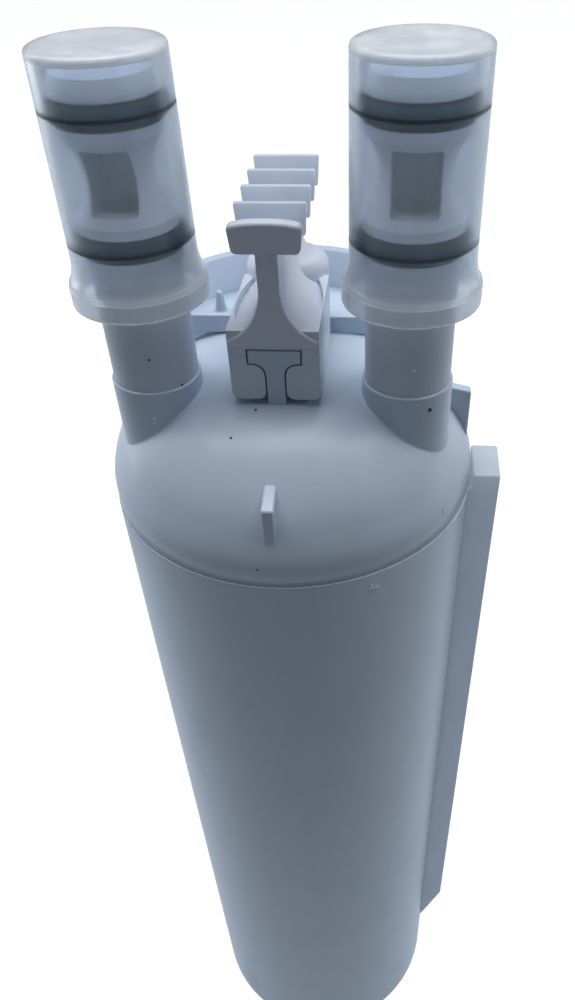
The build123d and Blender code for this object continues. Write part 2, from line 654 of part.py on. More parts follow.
def key_scoops():
    """Oval hollows beside the pylon, which leave an ear at each corner."""
    middle_y = (KEY_FRONT_Y + KEY_BLOCK_REAR_Y) / 2
    half_length = (KEY_BLOCK_REAR_Y - KEY_FRONT_Y) / 2 + KEY_SCOOP_OVERSHOOT
    half_width = KEY_HALF_WIDTH - KEY_SCOOP_RIM
    oval = Pos(0, middle_y) * Ellipse(half_length, half_width, rotation=90)
    centre_x = KEY_WEB_HALF + KEY_FLARE_RADIUS
    lying = Rot(90, 0, 0) * Cylinder(KEY_FLARE_RADIUS, 4 * half_length)
    rods = Part()
    for side in (-1, 1):
        rods += Pos(side * centre_x, middle_y, KEY_FLARE_Z) * lying
    clear_front_y = KEY_FRONT_Y + KEY_EAR_DEPTH
    clear_rear_y = KEY_BLOCK_REAR_Y - KEY_EAR_DEPTH
    between_ears = block(-half_width, half_width, clear_front_y, clear_rear_y, KEY_BOTTOM_Z, KEY_TOP_Z)
    return rods & upright(oval, KEY_BOTTOM_Z, KEY_TOP_Z) & between_ears


def carbon_block():
    """Hollow block of pressed carbon."""
    return tube(BLOCK_RADIUS, BLOCK_BORE_RADIUS, BLOCK_BOTTOM_Z, BLOCK_TOP_Z)


def inner_core():
    """Porous liner in the bore of the carbon block."""
    outer = BLOCK_BORE_RADIUS - LAYER_GAP
    bottom = BLOCK_BOTTOM_Z + CAP_PLUG_HEIGHT + LAYER_GAP
    top = BLOCK_TOP_Z - CAP_PLUG_HEIGHT - LAYER_GAP
    return tube(outer, outer - CORE_WALL, bottom, top)


def prefilter_wrap():
    """Felt wrap round the carbon block."""
    return tube(WRAP_OUTER_RADIUS, WRAP_INNER_RADIUS, BLOCK_BOTTOM_Z, BLOCK_TOP_Z)


def outer_netting():
    """Plastic net sleeve with rows of openings."""
    sleeve = tube(NET_OUTER_RADIUS, NET_INNER_RADIUS, BLOCK_BOTTOM_Z, BLOCK_TOP_Z)
    clear_bottom = BLOCK_BOTTOM_Z + CAP_RIM_HEIGHT
    row_height = (BLOCK_TOP_Z - CAP_RIM_HEIGHT - clear_bottom) / NET_ROWS
    opening_width = 2 * math.pi * NET_OUTER_RADIUS / NET_COLUMNS - NET_STRAND
    cutters = []
    for row in range(NET_ROWS):
        z = clear_bottom + (row + 0.5) * row_height
        for column in range(NET_COLUMNS // 2):
            turn = Rot(0, 0, (column + 0.5 * (row % 2)) * 360 / NET_COLUMNS)
            bar = Box(4 * NET_OUTER_RADIUS, opening_width, row_height - NET_STRAND)
            cutters.append(Pos(0, 0, z) * turn * bar)
    return sleeve - cutters


def upper_end_cap():
    """Open end cap with the neck that plugs into the manifold."""
    rim_inner = END_CAP_RADIUS - CAP_RIM_WALL
    plug = BLOCK_BORE_RADIUS - LAYER_GAP
    groove_root = NECK_RING_BORE / 2 - RING_SEAT_GAP
    groove_half = NECK_RING_SECTION * GROOVE_PER_SECTION / 2
    return turned_polygon(
        (NECK_BORE_RADIUS, BLOCK_TOP_Z - CAP_PLUG_HEIGHT),
        (plug, BLOCK_TOP_Z - CAP_PLUG_HEIGHT),
        (plug, BLOCK_TOP_Z),
        (rim_inner, BLOCK_TOP_Z),
        (rim_inner, BLOCK_TOP_Z - CAP_RIM_HEIGHT),
        (END_CAP_RADIUS, BLOCK_TOP_Z - CAP_RIM_HEIGHT),
        (END_CAP_RADIUS, ELEMENT_TOP_Z),
        (NECK_RADIUS, ELEMENT_TOP_Z),
        (NECK_RADIUS, NECK_RING_Z - groove_half),
        (groove_root, NECK_RING_Z - groove_half),
        (groove_root, NECK_RING_Z + groove_half),
        (NECK_RADIUS, NECK_RING_Z + groove_half),
        (NECK_RADIUS, NECK_TOP_Z - NECK_LEAD_IN),
        (NECK_RADIUS - NECK_LEAD_IN, NECK_TOP_Z),
        (NECK_BORE_RADIUS, NECK_TOP_Z),
    )


def lower_end_cap():
    """Closed end cap on feet that centre the element in the body shell."""
    rim_inner = END_CAP_RADIUS - CAP_RIM_WALL
    plug = BLOCK_BORE_RADIUS - LAYER_GAP
    cap = turned_polygon(
        (0, ELEMENT_BOTTOM_Z),
        (END_CAP_RADIUS, ELEMENT_BOTTOM_Z),
        (END_CAP_RADIUS, BLOCK_BOTTOM_Z + CAP_RIM_HEIGHT),
        (rim_inner, BLOCK_BOTTOM_Z + CAP_RIM_HEIGHT),
        (rim_inner, BLOCK_BOTTOM_Z),
        (plug, BLOCK_BOTTOM_Z),
        (plug, BLOCK_BOTTOM_Z + CAP_PLUG_HEIGHT),
        (0, BLOCK_BOTTOM_Z + CAP_PLUG_HEIGHT),
    )
    half = FOOT_WIDTH / 2
    fin_reach = BODY_INNER_RADIUS - FOOT_CLEARANCE
    fin_top_z = BLOCK_BOTTOM_Z + CAP_RIM_HEIGHT
    foot_reach = BODY_INNER_RADIUS - BODY_EDGE_RADIUS
    for index in range(FOOT_COUNT):
        fin = block(rim_inner, fin_reach, -half, half, ELEMENT_BOTTOM_Z, fin_top_z)
        foot = block(END_CAP_RADIUS / 2, foot_reach, -half, half, BODY_FLOOR, ELEMENT_BOTTOM_Z)
        cap += Rot(0, 0, index * 360 / FOOT_COUNT) * (fin + foot)
    return cap


def neck_ring():
    """O-ring on the neck of the element."""
    return ring(NECK_RING_RADIUS, NECK_RING_SECTION, NECK_RING_Z)


def flow_manifold():
    """Manifold: cup on the element's neck, channel and outlet spigot."""
    cup_outer = CUP_INNER_RADIUS + CUP_WALL
    part = rod(cup_outer, CUP_FLOOR_Z - CUP_DEPTH, CHANNEL_TOP_Z)
    reach = math.hypot(NOZZLE_HALF_PITCH, NOZZLE_CHORD_Y)
    heading = math.degrees(math.atan2(NOZZLE_CHORD_Y, NOZZLE_HALF_PITCH))
    arm = block(0, reach, -OUTLET_RADIUS, OUTLET_RADIUS, CUP_FLOOR_Z, CHANNEL_TOP_Z)
    part += Rot(0, 0, heading) * arm
    part += rod(OUTLET_RADIUS, CUP_FLOOR_Z, OUTLET_TOP_Z, NOZZLE_HALF_PITCH, NOZZLE_CHORD_Y)
    post_top = CROWN_Z - HEAD_WALL - POST_GAP
    part += rod(POST_RADIUS, CHANNEL_TOP_Z, post_top)
    part -= rod(CUP_INNER_RADIUS, CUP_FLOOR_Z - CUP_DEPTH - OVERRUN, CUP_FLOOR_Z)
    channel_z = CUP_FLOOR_Z + CHANNEL_HEIGHT / 2
    bore = Pos(0, 0, channel_z) * Rot(0, 90, 0) * Cylinder(
        CHANNEL_BORE_RADIUS, reach, align=(Align.CENTER, Align.CENTER, Align.MIN)
    )
    part -= Rot(0, 0, heading) * bore
    part -= rod(CHANNEL_BORE_RADIUS, CUP_FLOOR_Z - OVERRUN, channel_z)
    rise_top = OUTLET_TOP_Z + OVERRUN
    part -= rod(CHANNEL_BORE_RADIUS, channel_z, rise_top, NOZZLE_HALF_PITCH, NOZZLE_CHORD_Y)
    groove_root = OUTLET_RING_BORE / 2 - RING_SEAT_GAP
    groove_half = OUTLET_RING_SECTION * GROOVE_PER_SECTION / 2
    groove_top = OUTLET_RING_Z + groove_half
    groove = tube(OUTLET_RADIUS + OVERRUN, groove_root, OUTLET_RING_Z - groove_half, groove_top)
    return part - Pos(NOZZLE_HALF_PITCH, NOZZLE_CHORD_Y, 0) * groove


def outlet_ring():
    """O-ring on the manifold's outlet spigot."""
    torus = ring(OUTLET_RING_RADIUS, OUTLET_RING_SECTION, OUTLET_RING_Z)
    return Pos(NOZZLE_HALF_PITCH, NOZZLE_CHORD_Y, 0) * torus


def all_parts():
    """Every piece by its node name."""
    parts = {
        "body_shell": body_shell(),
        "head_cap": head_cap(),
        "key_lock": key_lock(),
        "carbon_block": carbon_block(),
        "inner_core": inner_core(),
        "prefilter_wrap": prefilter_wrap(),
        "outer_netting": outer_netting(),
        "upper_end_cap": upper_end_cap(),
        "lower_end_cap": lower_end_cap(),
        "neck_o_ring": neck_ring(),
        "flow_manifold": flow_manifold(),
        "outlet_o_ring": outlet_ring(),
    }
    for name, side in (("left", -1), ("right", 1)):
        parts[name + "_nozzle"] = nozzle(side)
        parts[name + "_upper_o_ring"] = nozzle_ring(side, UPPER_RING_Z)
        parts[name + "_lower_o_ring"] = nozzle_ring(side, LOWER_RING_Z)
        parts[name + "_protective_cap"] = protective_cap(side)
    return parts


os.makedirs("parts", exist_ok=True)
for node, shape in all_parts().items():
    export_step(shape, f"parts/{node}.step")
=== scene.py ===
"""Looks of an upright fridge water filter cartridge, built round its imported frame.

Lengths are millimetres in the classes and become metres when a mesh is made.
The origin is the middle of the flat bottom, +Z runs up to the nozzles, +X to
the guide rail and -Y to the front, where the key opens.
"""

import logging
import math
import random
from dataclasses import dataclass, field
from enum import Enum

import bmesh
import bpy
from mathutils import Matrix, Vector
from mathutils.bvhtree import BVHTree


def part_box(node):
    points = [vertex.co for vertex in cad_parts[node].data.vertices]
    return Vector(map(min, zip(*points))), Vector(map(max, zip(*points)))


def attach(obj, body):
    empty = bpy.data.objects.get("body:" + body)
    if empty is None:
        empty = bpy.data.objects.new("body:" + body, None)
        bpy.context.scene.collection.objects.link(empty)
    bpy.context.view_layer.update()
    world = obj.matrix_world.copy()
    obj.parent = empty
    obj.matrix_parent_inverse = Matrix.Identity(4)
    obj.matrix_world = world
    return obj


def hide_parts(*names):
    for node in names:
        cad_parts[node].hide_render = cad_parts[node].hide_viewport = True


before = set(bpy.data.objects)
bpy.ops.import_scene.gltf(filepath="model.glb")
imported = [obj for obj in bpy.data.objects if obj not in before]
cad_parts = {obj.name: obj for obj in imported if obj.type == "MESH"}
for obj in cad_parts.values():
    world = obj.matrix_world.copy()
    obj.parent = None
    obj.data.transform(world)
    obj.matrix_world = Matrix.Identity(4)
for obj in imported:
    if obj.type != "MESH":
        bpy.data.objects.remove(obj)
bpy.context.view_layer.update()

MM = 0.001
SHELL_STEPS = 256
ROUND_STEPS = 160
CAP_STEPS = 128
SMALL_STEPS = 96
PEG_STEPS = 48
ON_AXIS = 1e-9
MERGE_DISTANCE = 1e-7
PLASTIC_IOR = 1.49

Point = tuple[float, float]
Place = tuple[float, float, float]
Colour = tuple[float, float, float]

log = logging.getLogger("cartridge")


class Side(Enum):
    """The two nozzles, as seen from the front."""

    LEFT = -1
    RIGHT = 1

    @property
    def word(self) -> str:
        """The side's word in node names."""
        return self.name.lower()


class Body(Enum):
    """Rigid bodies of the frame."""

    CARTRIDGE = "cartridge"
    LEFT_CAP = "left_cap"
    RIGHT_CAP = "right_cap"


class Slot(Enum):
    """Material slots of the record."""

    WHITE = "white_plastic"
    NOZZLE = "nozzle_plastic"
    KEY = "key_plastic"
    CLEAR = "clear_plastic"
    RUBBER = "seal_rubber"
    CARBON = "pressed_carbon"
    CORE = "porous_plastic"
    FELT = "felt"
    NET = "net_plastic"
    END_CAP = "end_cap_plastic"


class Joining(Enum):
    """Ways to combine two solids."""

    ADD = "UNION"
    CUT = "DIFFERENCE"
    COMMON = "INTERSECT"


class Ray(Enum):
    """Kinds of light rays that a material can tell apart."""

    CAMERA = "Is Camera Ray"
    GLOSSY = "Is Glossy Ray"
    SHADOW = "Is Shadow Ray"
    TRANSMISSION = "Is Transmission Ray"


class Axis(Enum):
    """The direction that a prism runs in."""

    Y = "y"
    Z = "z"


# Sections and meshes


def arc(centre: Point, radius: float, start: float, end: float, steps: int) -> list[Point]:
    """Points along a round stretch of a section.

    Args:
        centre: Middle of the circle.
        radius: Its radius.
        start: First angle in degrees.
        end: Last angle in degrees.
        steps: Number of equal steps between them.

    Returns:
        The points, both ends included.
    """
    turns = [math.radians(start + (end - start) * step / steps) for step in range(steps + 1)]
    return [(centre[0] + radius * math.cos(t), centre[1] + radius * math.sin(t)) for t in turns]


def circle_through(first: Point, middle: Point, last: Point, steps: int) -> list[Point]:
    """Points on the circle through three points.

    Args:
        first: Where the stretch starts.
        middle: A point on it.
        last: Where it ends.
        steps: Number of equal steps.

    Returns:
        The points, both ends included.
    """
    (ax, ay), (bx, by), (cx, cy) = first, middle, last
    twice = 2 * (ax * (by - cy) + bx * (cy - ay) + cx * (ay - by))
    a2, b2, c2 = ax * ax + ay * ay, bx * bx + by * by, cx * cx + cy * cy
    centre = (
        (a2 * (by - cy) + b2 * (cy - ay) + c2 * (ay - by)) / twice,
        (a2 * (cx - bx) + b2 * (ax - cx) + c2 * (bx - ax)) / twice,
    )
    radius = math.dist(centre, first)
    angles = [
        math.degrees(math.atan2(p[1] - centre[1], p[0] - centre[0])) for p in (first, middle, last)
    ]
    span = (angles[2] - angles[0] + 180) % 360 - 180
    part = (angles[1] - angles[0] + 180) % 360 - 180
    if span * part < 0:
        span -= math.copysign(360, span)
    return arc(centre, radius, angles[0], angles[0] + span, steps)


def mirrored(points: list[Point]) -> list[Point]:
    """The outline and its mirror image across X = 0, as one closed outline."""
    return points + [(-x, y) for x, y in reversed(points) if abs(x) > ON_AXIS]


def new_object(name: str, mesh: bpy.types.Mesh) -> bpy.types.Object:
    """A linked object at the origin that shows a mesh.

    Args:
        name: The object's name.
        mesh: What it shows.

    Returns:
        The new object.
    """
    made = bpy.data.objects.new(name, mesh)
    bpy.context.scene.collection.objects.link(made)
    return made


def from_bmesh(name: str, work: bmesh.types.BMesh) -> bpy.types.Object:
    """Turns finished bmesh work into a smooth object with outward faces.

    Args:
        name: Name of the piece.
        work: The mesh, which is freed.

    Returns:
        The new object.
    """
    bmesh.ops.remove_doubles(work, verts=work.verts, dist=MERGE_DISTANCE)
    bmesh.ops.recalc_face_normals(work, faces=work.faces)
    for face in work.faces:
        face.smooth = True
    mesh = bpy.data.meshes.new(name)
    work.to_mesh(mesh)
    work.free()
    return new_object(name, mesh)


def lathe(
    name: str, outline: list[Point], centre: Point = (0.0, 0.0), steps: int = ROUND_STEPS
) -> bpy.types.Object:
    """Turns a closed section about an upright axis.

    Args:
        name: Name of the piece.
        outline: Corners of the section as radius and height. A radius of 0 is a pole.
        centre: Where the axis stands.
        steps: Number of steps round it.

    Returns:
        The new object.
    """
    work = bmesh.new()
    turns = [2 * math.pi * step / steps for step in range(steps)]
    rings = []
    for radius, height in outline:
        if radius < ON_AXIS:
            rings.append([work.verts.new((centre[0] * MM, centre[1] * MM, height * MM))] * steps)
            continue
        rings.append([
            work.verts.new((
                (centre[0] + radius * math.cos(t)) * MM,
                (centre[1] + radius * math.sin(t)) * MM,
                height * MM,
            ))
            for t in turns
        ])
    for index, ring in enumerate(rings):
        after = rings[(index + 1) % len(rings)]
        for step in range(steps):
            corners = [ring[step], ring[(step + 1) % steps], after[(step + 1) % steps], after[step]]
            unique = list(dict.fromkeys(corners))
            if len(unique) > 2:
                work.faces.new(unique)
    return from_bmesh(name, work)


def prism(name: str, outline: list[Point], axis: Axis, low: float, high: float) -> bpy.types.Object:
    """Pulls a closed outline out into a solid.

    Args:
        name: Name of the piece.
        outline: Corners as X and Z for a prism along Y, or as X and Y for one along Z.
        axis: Direction that it runs in.
        low: Where it starts on that axis.
        high: Where it ends.

    Returns:
        The new object.
    """
    def place(point: Point, along: float) -> tuple[float, float, float]:
        """A corner in metres."""
        if axis is Axis.Y:
            return (point[0] * MM, along * MM, point[1] * MM)
        return (point[0] * MM, point[1] * MM, along * MM)

    work = bmesh.new()
    near = [work.verts.new(place(p, low)) for p in outline]
    far = [work.verts.new(place(p, high)) for p in outline]
    work.faces.new(near)
    work.faces.new(list(reversed(far)))
    for index in range(len(outline)):
        after = (index + 1) % len(outline)
        work.faces.new([near[index], far[index], far[after], near[after]])
    return from_bmesh(name, work)


def bullnosed(
    name: str, outline: list[Point], front: float, rear: float, radius: float
) -> bpy.types.Object:
    """Pulls a closed outline out along Y, with its front edges rounded over.

    Args:
        name: Name of the piece.
        outline: Corners as X and Z.
        front: Y of the front face.
        rear: Y of the rear face.
        radius: Radius of the front edges.

    Returns:
        The new object.
    """
    corners = [Vector(point) for point in outline]
    turns = [a.x * b.y - a.y * b.x for a, b in zip(corners, corners[1:] + corners[:1])]
    hand = 1 if sum(turns) > 0 else -1
    inward = []
    for index, here in enumerate(corners):
        after = (corners[(index + 1) % len(corners)] - here).normalized()
        before = (here - corners[index - 1]).normalized()
        sides = [Vector((-hand * edge.y, hand * edge.x)) for edge in (before, after)]
        inward.append((sides[0] + sides[1]) / (1 + sides[0].dot(sides[1])))
    work = bmesh.new()
    rings = []
    for angle in range(0, 91, 18):
        turn = math.radians(angle)
        inset, along = radius * (1 - math.sin(turn)), front + radius * (1 - math.cos(turn))
        places = [here + move * inset for here, move in zip(corners, inward)]
        rings.append([work.verts.new((at.x * MM, along * MM, at.y * MM)) for at in places])
    rings.append([work.verts.new((at.x * MM, rear * MM, at.y * MM)) for at in corners])
    for near, far in zip(rings, rings[1:]):
        for index in range(len(corners)):
            after = (index + 1) % len(corners)
            work.faces.new([near[index], far[index], far[after], near[after]])
    work.faces.new(rings[0])
    work.faces.new(list(reversed(rings[-1])))
    return from_bmesh(name, work)


def brick(name: str, x: Point, y: Point, z: Point) -> bpy.types.Object:
    """A square block between three pairs of limits."""
    return prism(name, [(x[0], y[0]), (x[1], y[0]), (x[1], y[1]), (x[0], y[1])], Axis.Z, z[0], z[1])


def settle(made: bpy.types.Object) -> bpy.types.Object:
    """Bakes an object's live modifiers into its mesh.

    Args:
        made: The object, whose modifiers are applied and removed.

    Returns:
        The same object.
    """
    graph = bpy.context.evaluated_depsgraph_get()
    graph.update()
    mesh = bpy.data.meshes.new_from_object(made.evaluated_get(graph), depsgraph=graph)
    old = made.data
    made.modifiers.clear()
    made.data = mesh
    mesh.name = made.name
    bpy.data.meshes.remove(old)
    return made


def combine(base: bpy.types.Object, tool: bpy.types.Object, way: Joining) -> bpy.types.Object:
    """Joins, cuts or intersects two solids and removes the second.

    Args:
        base: The solid that stays.
        tool: The solid that is used up.
        way: How they are combined.

    Returns:
        The base.
    """
    modifier = base.modifiers.new("joining", "BOOLEAN")
    modifier.operation = way.value
    modifier.solver = "EXACT"
    modifier.object = tool
    settle(base)
    bpy.data.objects.remove(tool)
    return base


def soften(
    made: bpy.types.Object, width: float, segments: int = 3, angle: float = 32.0
) -> bpy.types.Object:
    """Rounds the sharp edges of a moulded piece and evens out its shading.

    Args:
        made: The piece.
        width: Width of the rounding.
        segments: Steps across it.
        angle: Least turn in degrees that counts as an edge.

    Returns:
        The same piece, with a plain mesh.
    """
    bevel = made.modifiers.new("edges", "BEVEL")
    bevel.width = width * MM
    bevel.segments = segments
    bevel.limit_method = "ANGLE"
    bevel.angle_limit = math.radians(angle)
    bevel.use_clamp_overlap = True
    bevel.miter_outer = "MITER_ARC"
    shade = made.modifiers.new("shading", "WEIGHTED_NORMAL")
    shade.keep_sharp = True
    return settle(made)


def even_shading(made: bpy.types.Object) -> bpy.types.Object:
    """Lets the large faces rule the shading of a turned piece."""
    made.modifiers.new("shading", "WEIGHTED_NORMAL")
    return settle(made)


def finished(
    made: bpy.types.Object,
    material: bpy.types.Material,
    body: Body,
    slot: Slot,
    nodes: tuple[str, ...],
) -> bpy.types.Object:
    """Gives a piece its finish and its place in the frame.

    Args:
        made: The piece.
        material: Its finish.
        body: The body that it rides on.
        slot: The record's material slot; not used.
        nodes: Nodes of the frame that it stands for.

    Returns:
        The same piece.
    """
    made.data.materials.clear()
    made.data.materials.append(material)
    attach(made, body.value)
    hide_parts(*nodes)
    log.info("made %s with %d faces", made.name, len(made.data.polygons))
    return made


# Shader graphs


class Value:
    """A number in a shader graph, with arithmetic."""

    def __init__(self, graph: "Graph", socket: bpy.types.NodeSocket) -> None:
        """Keeps the graph and the socket that gives the number."""
        self.graph = graph
        self.socket = socket

    def __add__(self, other: "Value | float") -> "Value":
        """The sum."""
        return self.graph.math("ADD", self, other)

    __radd__ = __add__

    def __sub__(self, other: "Value | float") -> "Value":
        """The difference."""
        return self.graph.math("SUBTRACT", self, other)

    def __rsub__(self, other: float) -> "Value":
        """A number less this one."""
        return self.graph.math("SUBTRACT", other, self)

    def __mul__(self, other: "Value | float") -> "Value":
        """The product."""
        return self.graph.math("MULTIPLY", self, other)

    __rmul__ = __mul__

    def __abs__(self) -> "Value":
        """The size without its sign."""
        return self.graph.math("ABSOLUTE", self)

    def larger(self, other: "Value | float") -> "Value":
        """The larger of two numbers."""
        return self.graph.math("MAXIMUM", self, other)

    def ease(self, low: float, high: float) -> "Value":
        """A smooth step from 0 at low to 1 at high.

        Args:
            low: Where the step starts.
            high: Where it ends.

        Returns:
            The eased number.
        """
        made = self.graph.node(
            "ShaderNodeMapRange",
            {"interpolation_type": "SMOOTHSTEP"},
            {"Value": self, "From Min": low, "From Max": high},
        )
        return Value(self.graph, made.outputs["Result"])


class NodeMaker:
    """Adds nodes to one tree."""

    def __init__(self, tree: bpy.types.NodeTree) -> None:
        """Keeps the tree."""
        self.tree = tree

    def node(
        self, kind: str, settings: dict | None = None, inputs: dict | None = None
    ) -> bpy.types.Node:
        """Adds a node.

        Args:
            kind: Blender's name for the node's type.
            settings: Its properties, which are set first.
            inputs: Values, sockets or Value objects by socket name or number.

        Returns:
            The node.
        """
        made = self.tree.nodes.new(kind)
        for key, value in (settings or {}).items():
            setattr(made, key, value)
        for key, value in (inputs or {}).items():
            source = value.socket if isinstance(value, Value) else value
            if isinstance(source, bpy.types.NodeSocket):
                self.tree.links.new(source, made.inputs[key])
            else:
                made.inputs[key].default_value = source
        return made


class Graph(NodeMaker):
    """The shader graph of a material or a world, built from Python expressions."""

    def __init__(self, owner: bpy.types.Material | bpy.types.World) -> None:
        """Starts with an empty tree.

        Args:
            owner: The material or the world that the graph belongs to.
        """
        owner.use_nodes = True
        super().__init__(owner.node_tree)
        self.tree.nodes.clear()
        self.owner = owner

    @classmethod
    def named(cls, name: str) -> "Graph":
        """The graph of a new material."""
        return cls(bpy.data.materials.new(name))

    def math(self, operation: str, *values: "Value | float") -> Value:
        """Adds a Math node for one operation on its values."""
        made = self.node("ShaderNodeMath", {"operation": operation}, dict(enumerate(values)))
        return Value(self, made.outputs[0])

    def place(self, stretch: Place = (1.0, 1.0, 1.0)) -> bpy.types.NodeSocket:
        """The point on the object in metres, stretched along the axes.

        Args:
            stretch: Scale along each axis.

        Returns:
            The point's socket.
        """
        point = self.node("ShaderNodeTexCoord").outputs["Object"]
        if stretch == (1.0, 1.0, 1.0):
            return point
        moved = self.node("ShaderNodeMapping", None, {"Vector": point, "Scale": stretch})
        return moved.outputs["Vector"]

    def height(self) -> Value:
        """Height of the point on the object, in millimetres."""
        split = self.node("ShaderNodeSeparateXYZ", None, {0: self.place()})
        return Value(self, split.outputs["Z"]) * (1 / MM)

    def ray(self, kind: Ray) -> Value:
        """1 for light rays of one kind and 0 for others."""
        return Value(self, self.node("ShaderNodeLightPath").outputs[kind.value])

    def noise(self, size: float, detail: float = 2.0, stretch: Place = (1.0, 1.0, 1.0)) -> Value:
        """Soft noise from 0 to 1.

        Args:
            size: Width of its patches in millimetres.
            detail: Number of finer layers.
            stretch: Scale along each axis.

        Returns:
            The noise.
        """
        inputs = {"Vector": self.place(stretch), "Scale": 1 / (size * MM), "Detail": detail}
        return Value(self, self.node("ShaderNodeTexNoise", None, inputs).outputs["Fac"])

    def specks(self, pitch: float, radius: float, share: float) -> Value:
        """Small round dots on a share of the cells of a random grid.

        Args:
            pitch: Usual distance between cells in millimetres.
            radius: Radius of a dot in millimetres.
            share: Share of the cells that hold one.

        Returns:
            1 in a dot and 0 elsewhere.
        """
        inputs = {"Vector": self.place(), "Scale": 1 / (pitch * MM)}
        cells = self.node("ShaderNodeTexVoronoi", {"feature": "F1"}, inputs)
        edge = radius / pitch
        near = 1 - Value(self, cells.outputs["Distance"]).ease(0.6 * edge, edge)
        split = self.node("ShaderNodeSeparateColor", None, {"Color": cells.outputs["Color"]})
        chosen = self.math("GREATER_THAN", Value(self, split.outputs["Red"]), 1 - share)
        return near * chosen

    def blend(self, factor: "Value | float", first: object, second: object) -> bpy.types.NodeSocket:
        """A colour between two colours.

        Args:
            factor: 0 for the first, 1 for the second.
            first: A colour or a socket.
            second: A colour or a socket.

        Returns:
            The mixed colour's socket.
        """
        pair = [(*each, 1.0) if isinstance(each, tuple) else each for each in (first, second)]
        inputs = {0: factor, 6: pair[0], 7: pair[1]}
        return self.node("ShaderNodeMix", {"data_type": "RGBA"}, inputs).outputs[2]

    def bump(self, height: Value, distance: float) -> bpy.types.NodeSocket:
        """A normal from a height pattern of 0 to 1 and its depth in millimetres."""
        inputs = {"Height": height, "Distance": distance * MM, "Strength": 1.0}
        return self.node("ShaderNodeBump", None, inputs).outputs["Normal"]

    def principled(self, inputs: dict) -> bpy.types.NodeSocket:
        """A Principled shader with its inputs by name."""
        return self.node("ShaderNodeBsdfPrincipled", None, inputs).outputs[0]

    def mix(
        self, factor: "Value | float", first: bpy.types.NodeSocket, second: bpy.types.NodeSocket
    ) -> bpy.types.NodeSocket:
        """A mix of two shaders, the first at 0 and the second at 1."""
        return self.node("ShaderNodeMixShader", None, {0: factor, 1: first, 2: second}).outputs[0]

    def finish(self, shader: bpy.types.NodeSocket) -> bpy.types.Material | bpy.types.World:
        """Adds the output.

        Args:
            shader: What the surface or the world shows.

        Returns:
            The material or the world.
        """
        kind = "World" if isinstance(self.owner, bpy.types.World) else "Material"
        self.node(f"ShaderNodeOutput{kind}", None, {"Surface": shader})
        return self.owner


def tinted(colour: Colour, factor: float) -> Colour:
    """A colour made lighter or darker by a factor."""
    return tuple(min(1.0, channel * factor) for channel in colour)


@dataclass(frozen=True)
class MouldedPlastic:
    """Satin injection-moulded plastic with faint clouding, dust and rub marks."""

    name: str
    colour: Colour
    roughness: float = 0.36
    clouding: float = 0.05
    dust: float = 0.05
    texture: float = 0.004
    rubs: float = 0.5
    cloud_width: float = 26.0
    streak_width: float = 5.0
    streak_stretch: Place = (1.0, 1.0, 0.12)
    dark_speck: Point = (4.5, 0.16)
    pale_speck: Point = (6.3, 0.2)
    worn_width: float = 14.0
    hair_width: float = 7.0
    grain_width: float = 0.55
    wave_width: float = 9.0
    worn_edges: Point = (0.56, 0.72)
    hair_thickness: float = 0.012
    dark_tint: float = 0.3
    pale_tint: float = 1.5

    def material(self) -> bpy.types.Material:
        """Builds the finish.

        Returns:
            The material.
        """
        graph = Graph.named(self.name)
        cloud = graph.noise(self.cloud_width, 3.0)
        streak = graph.noise(self.streak_width, 2.0, self.streak_stretch)
        shade = (cloud * 0.7 + streak * 0.3).ease(0.3, 0.7)
        low, high = (tinted(self.colour, 1 + turn * self.clouding) for turn in (-1, 1))
        dots = graph.specks(*self.dark_speck, self.dust)
        pale = graph.specks(*self.pale_speck, self.dust)
        worn = graph.noise(self.worn_width, 4.0).ease(*self.worn_edges)
        hair = 1 - abs(graph.noise(self.hair_width, 5.0) - 0.5).ease(0.0, self.hair_thickness)
        rub = hair * worn * self.rubs
        grain = graph.noise(self.grain_width, 3.0)
        wave = graph.noise(self.wave_width, 2.0)
        dark, light = (tinted(self.colour, tint) for tint in (self.dark_tint, self.pale_tint))
        colour = graph.blend(dots * 0.6, graph.blend(shade, low, high), dark)
        colour = graph.blend(pale.larger(rub * 0.35), colour, light)
        height = grain * 0.5 + wave * 0.5 + dots * 2.0
        spread = cloud * 0.08 + worn * 0.07 + rub * 0.2 + grain * 0.04
        inputs = {
            "Base Color": colour,
            "Roughness": spread + (self.roughness - 0.09),
            "IOR": PLASTIC_IOR,
            "Normal": graph.bump(height, self.texture),
        }
        return graph.finish(graph.principled(inputs))


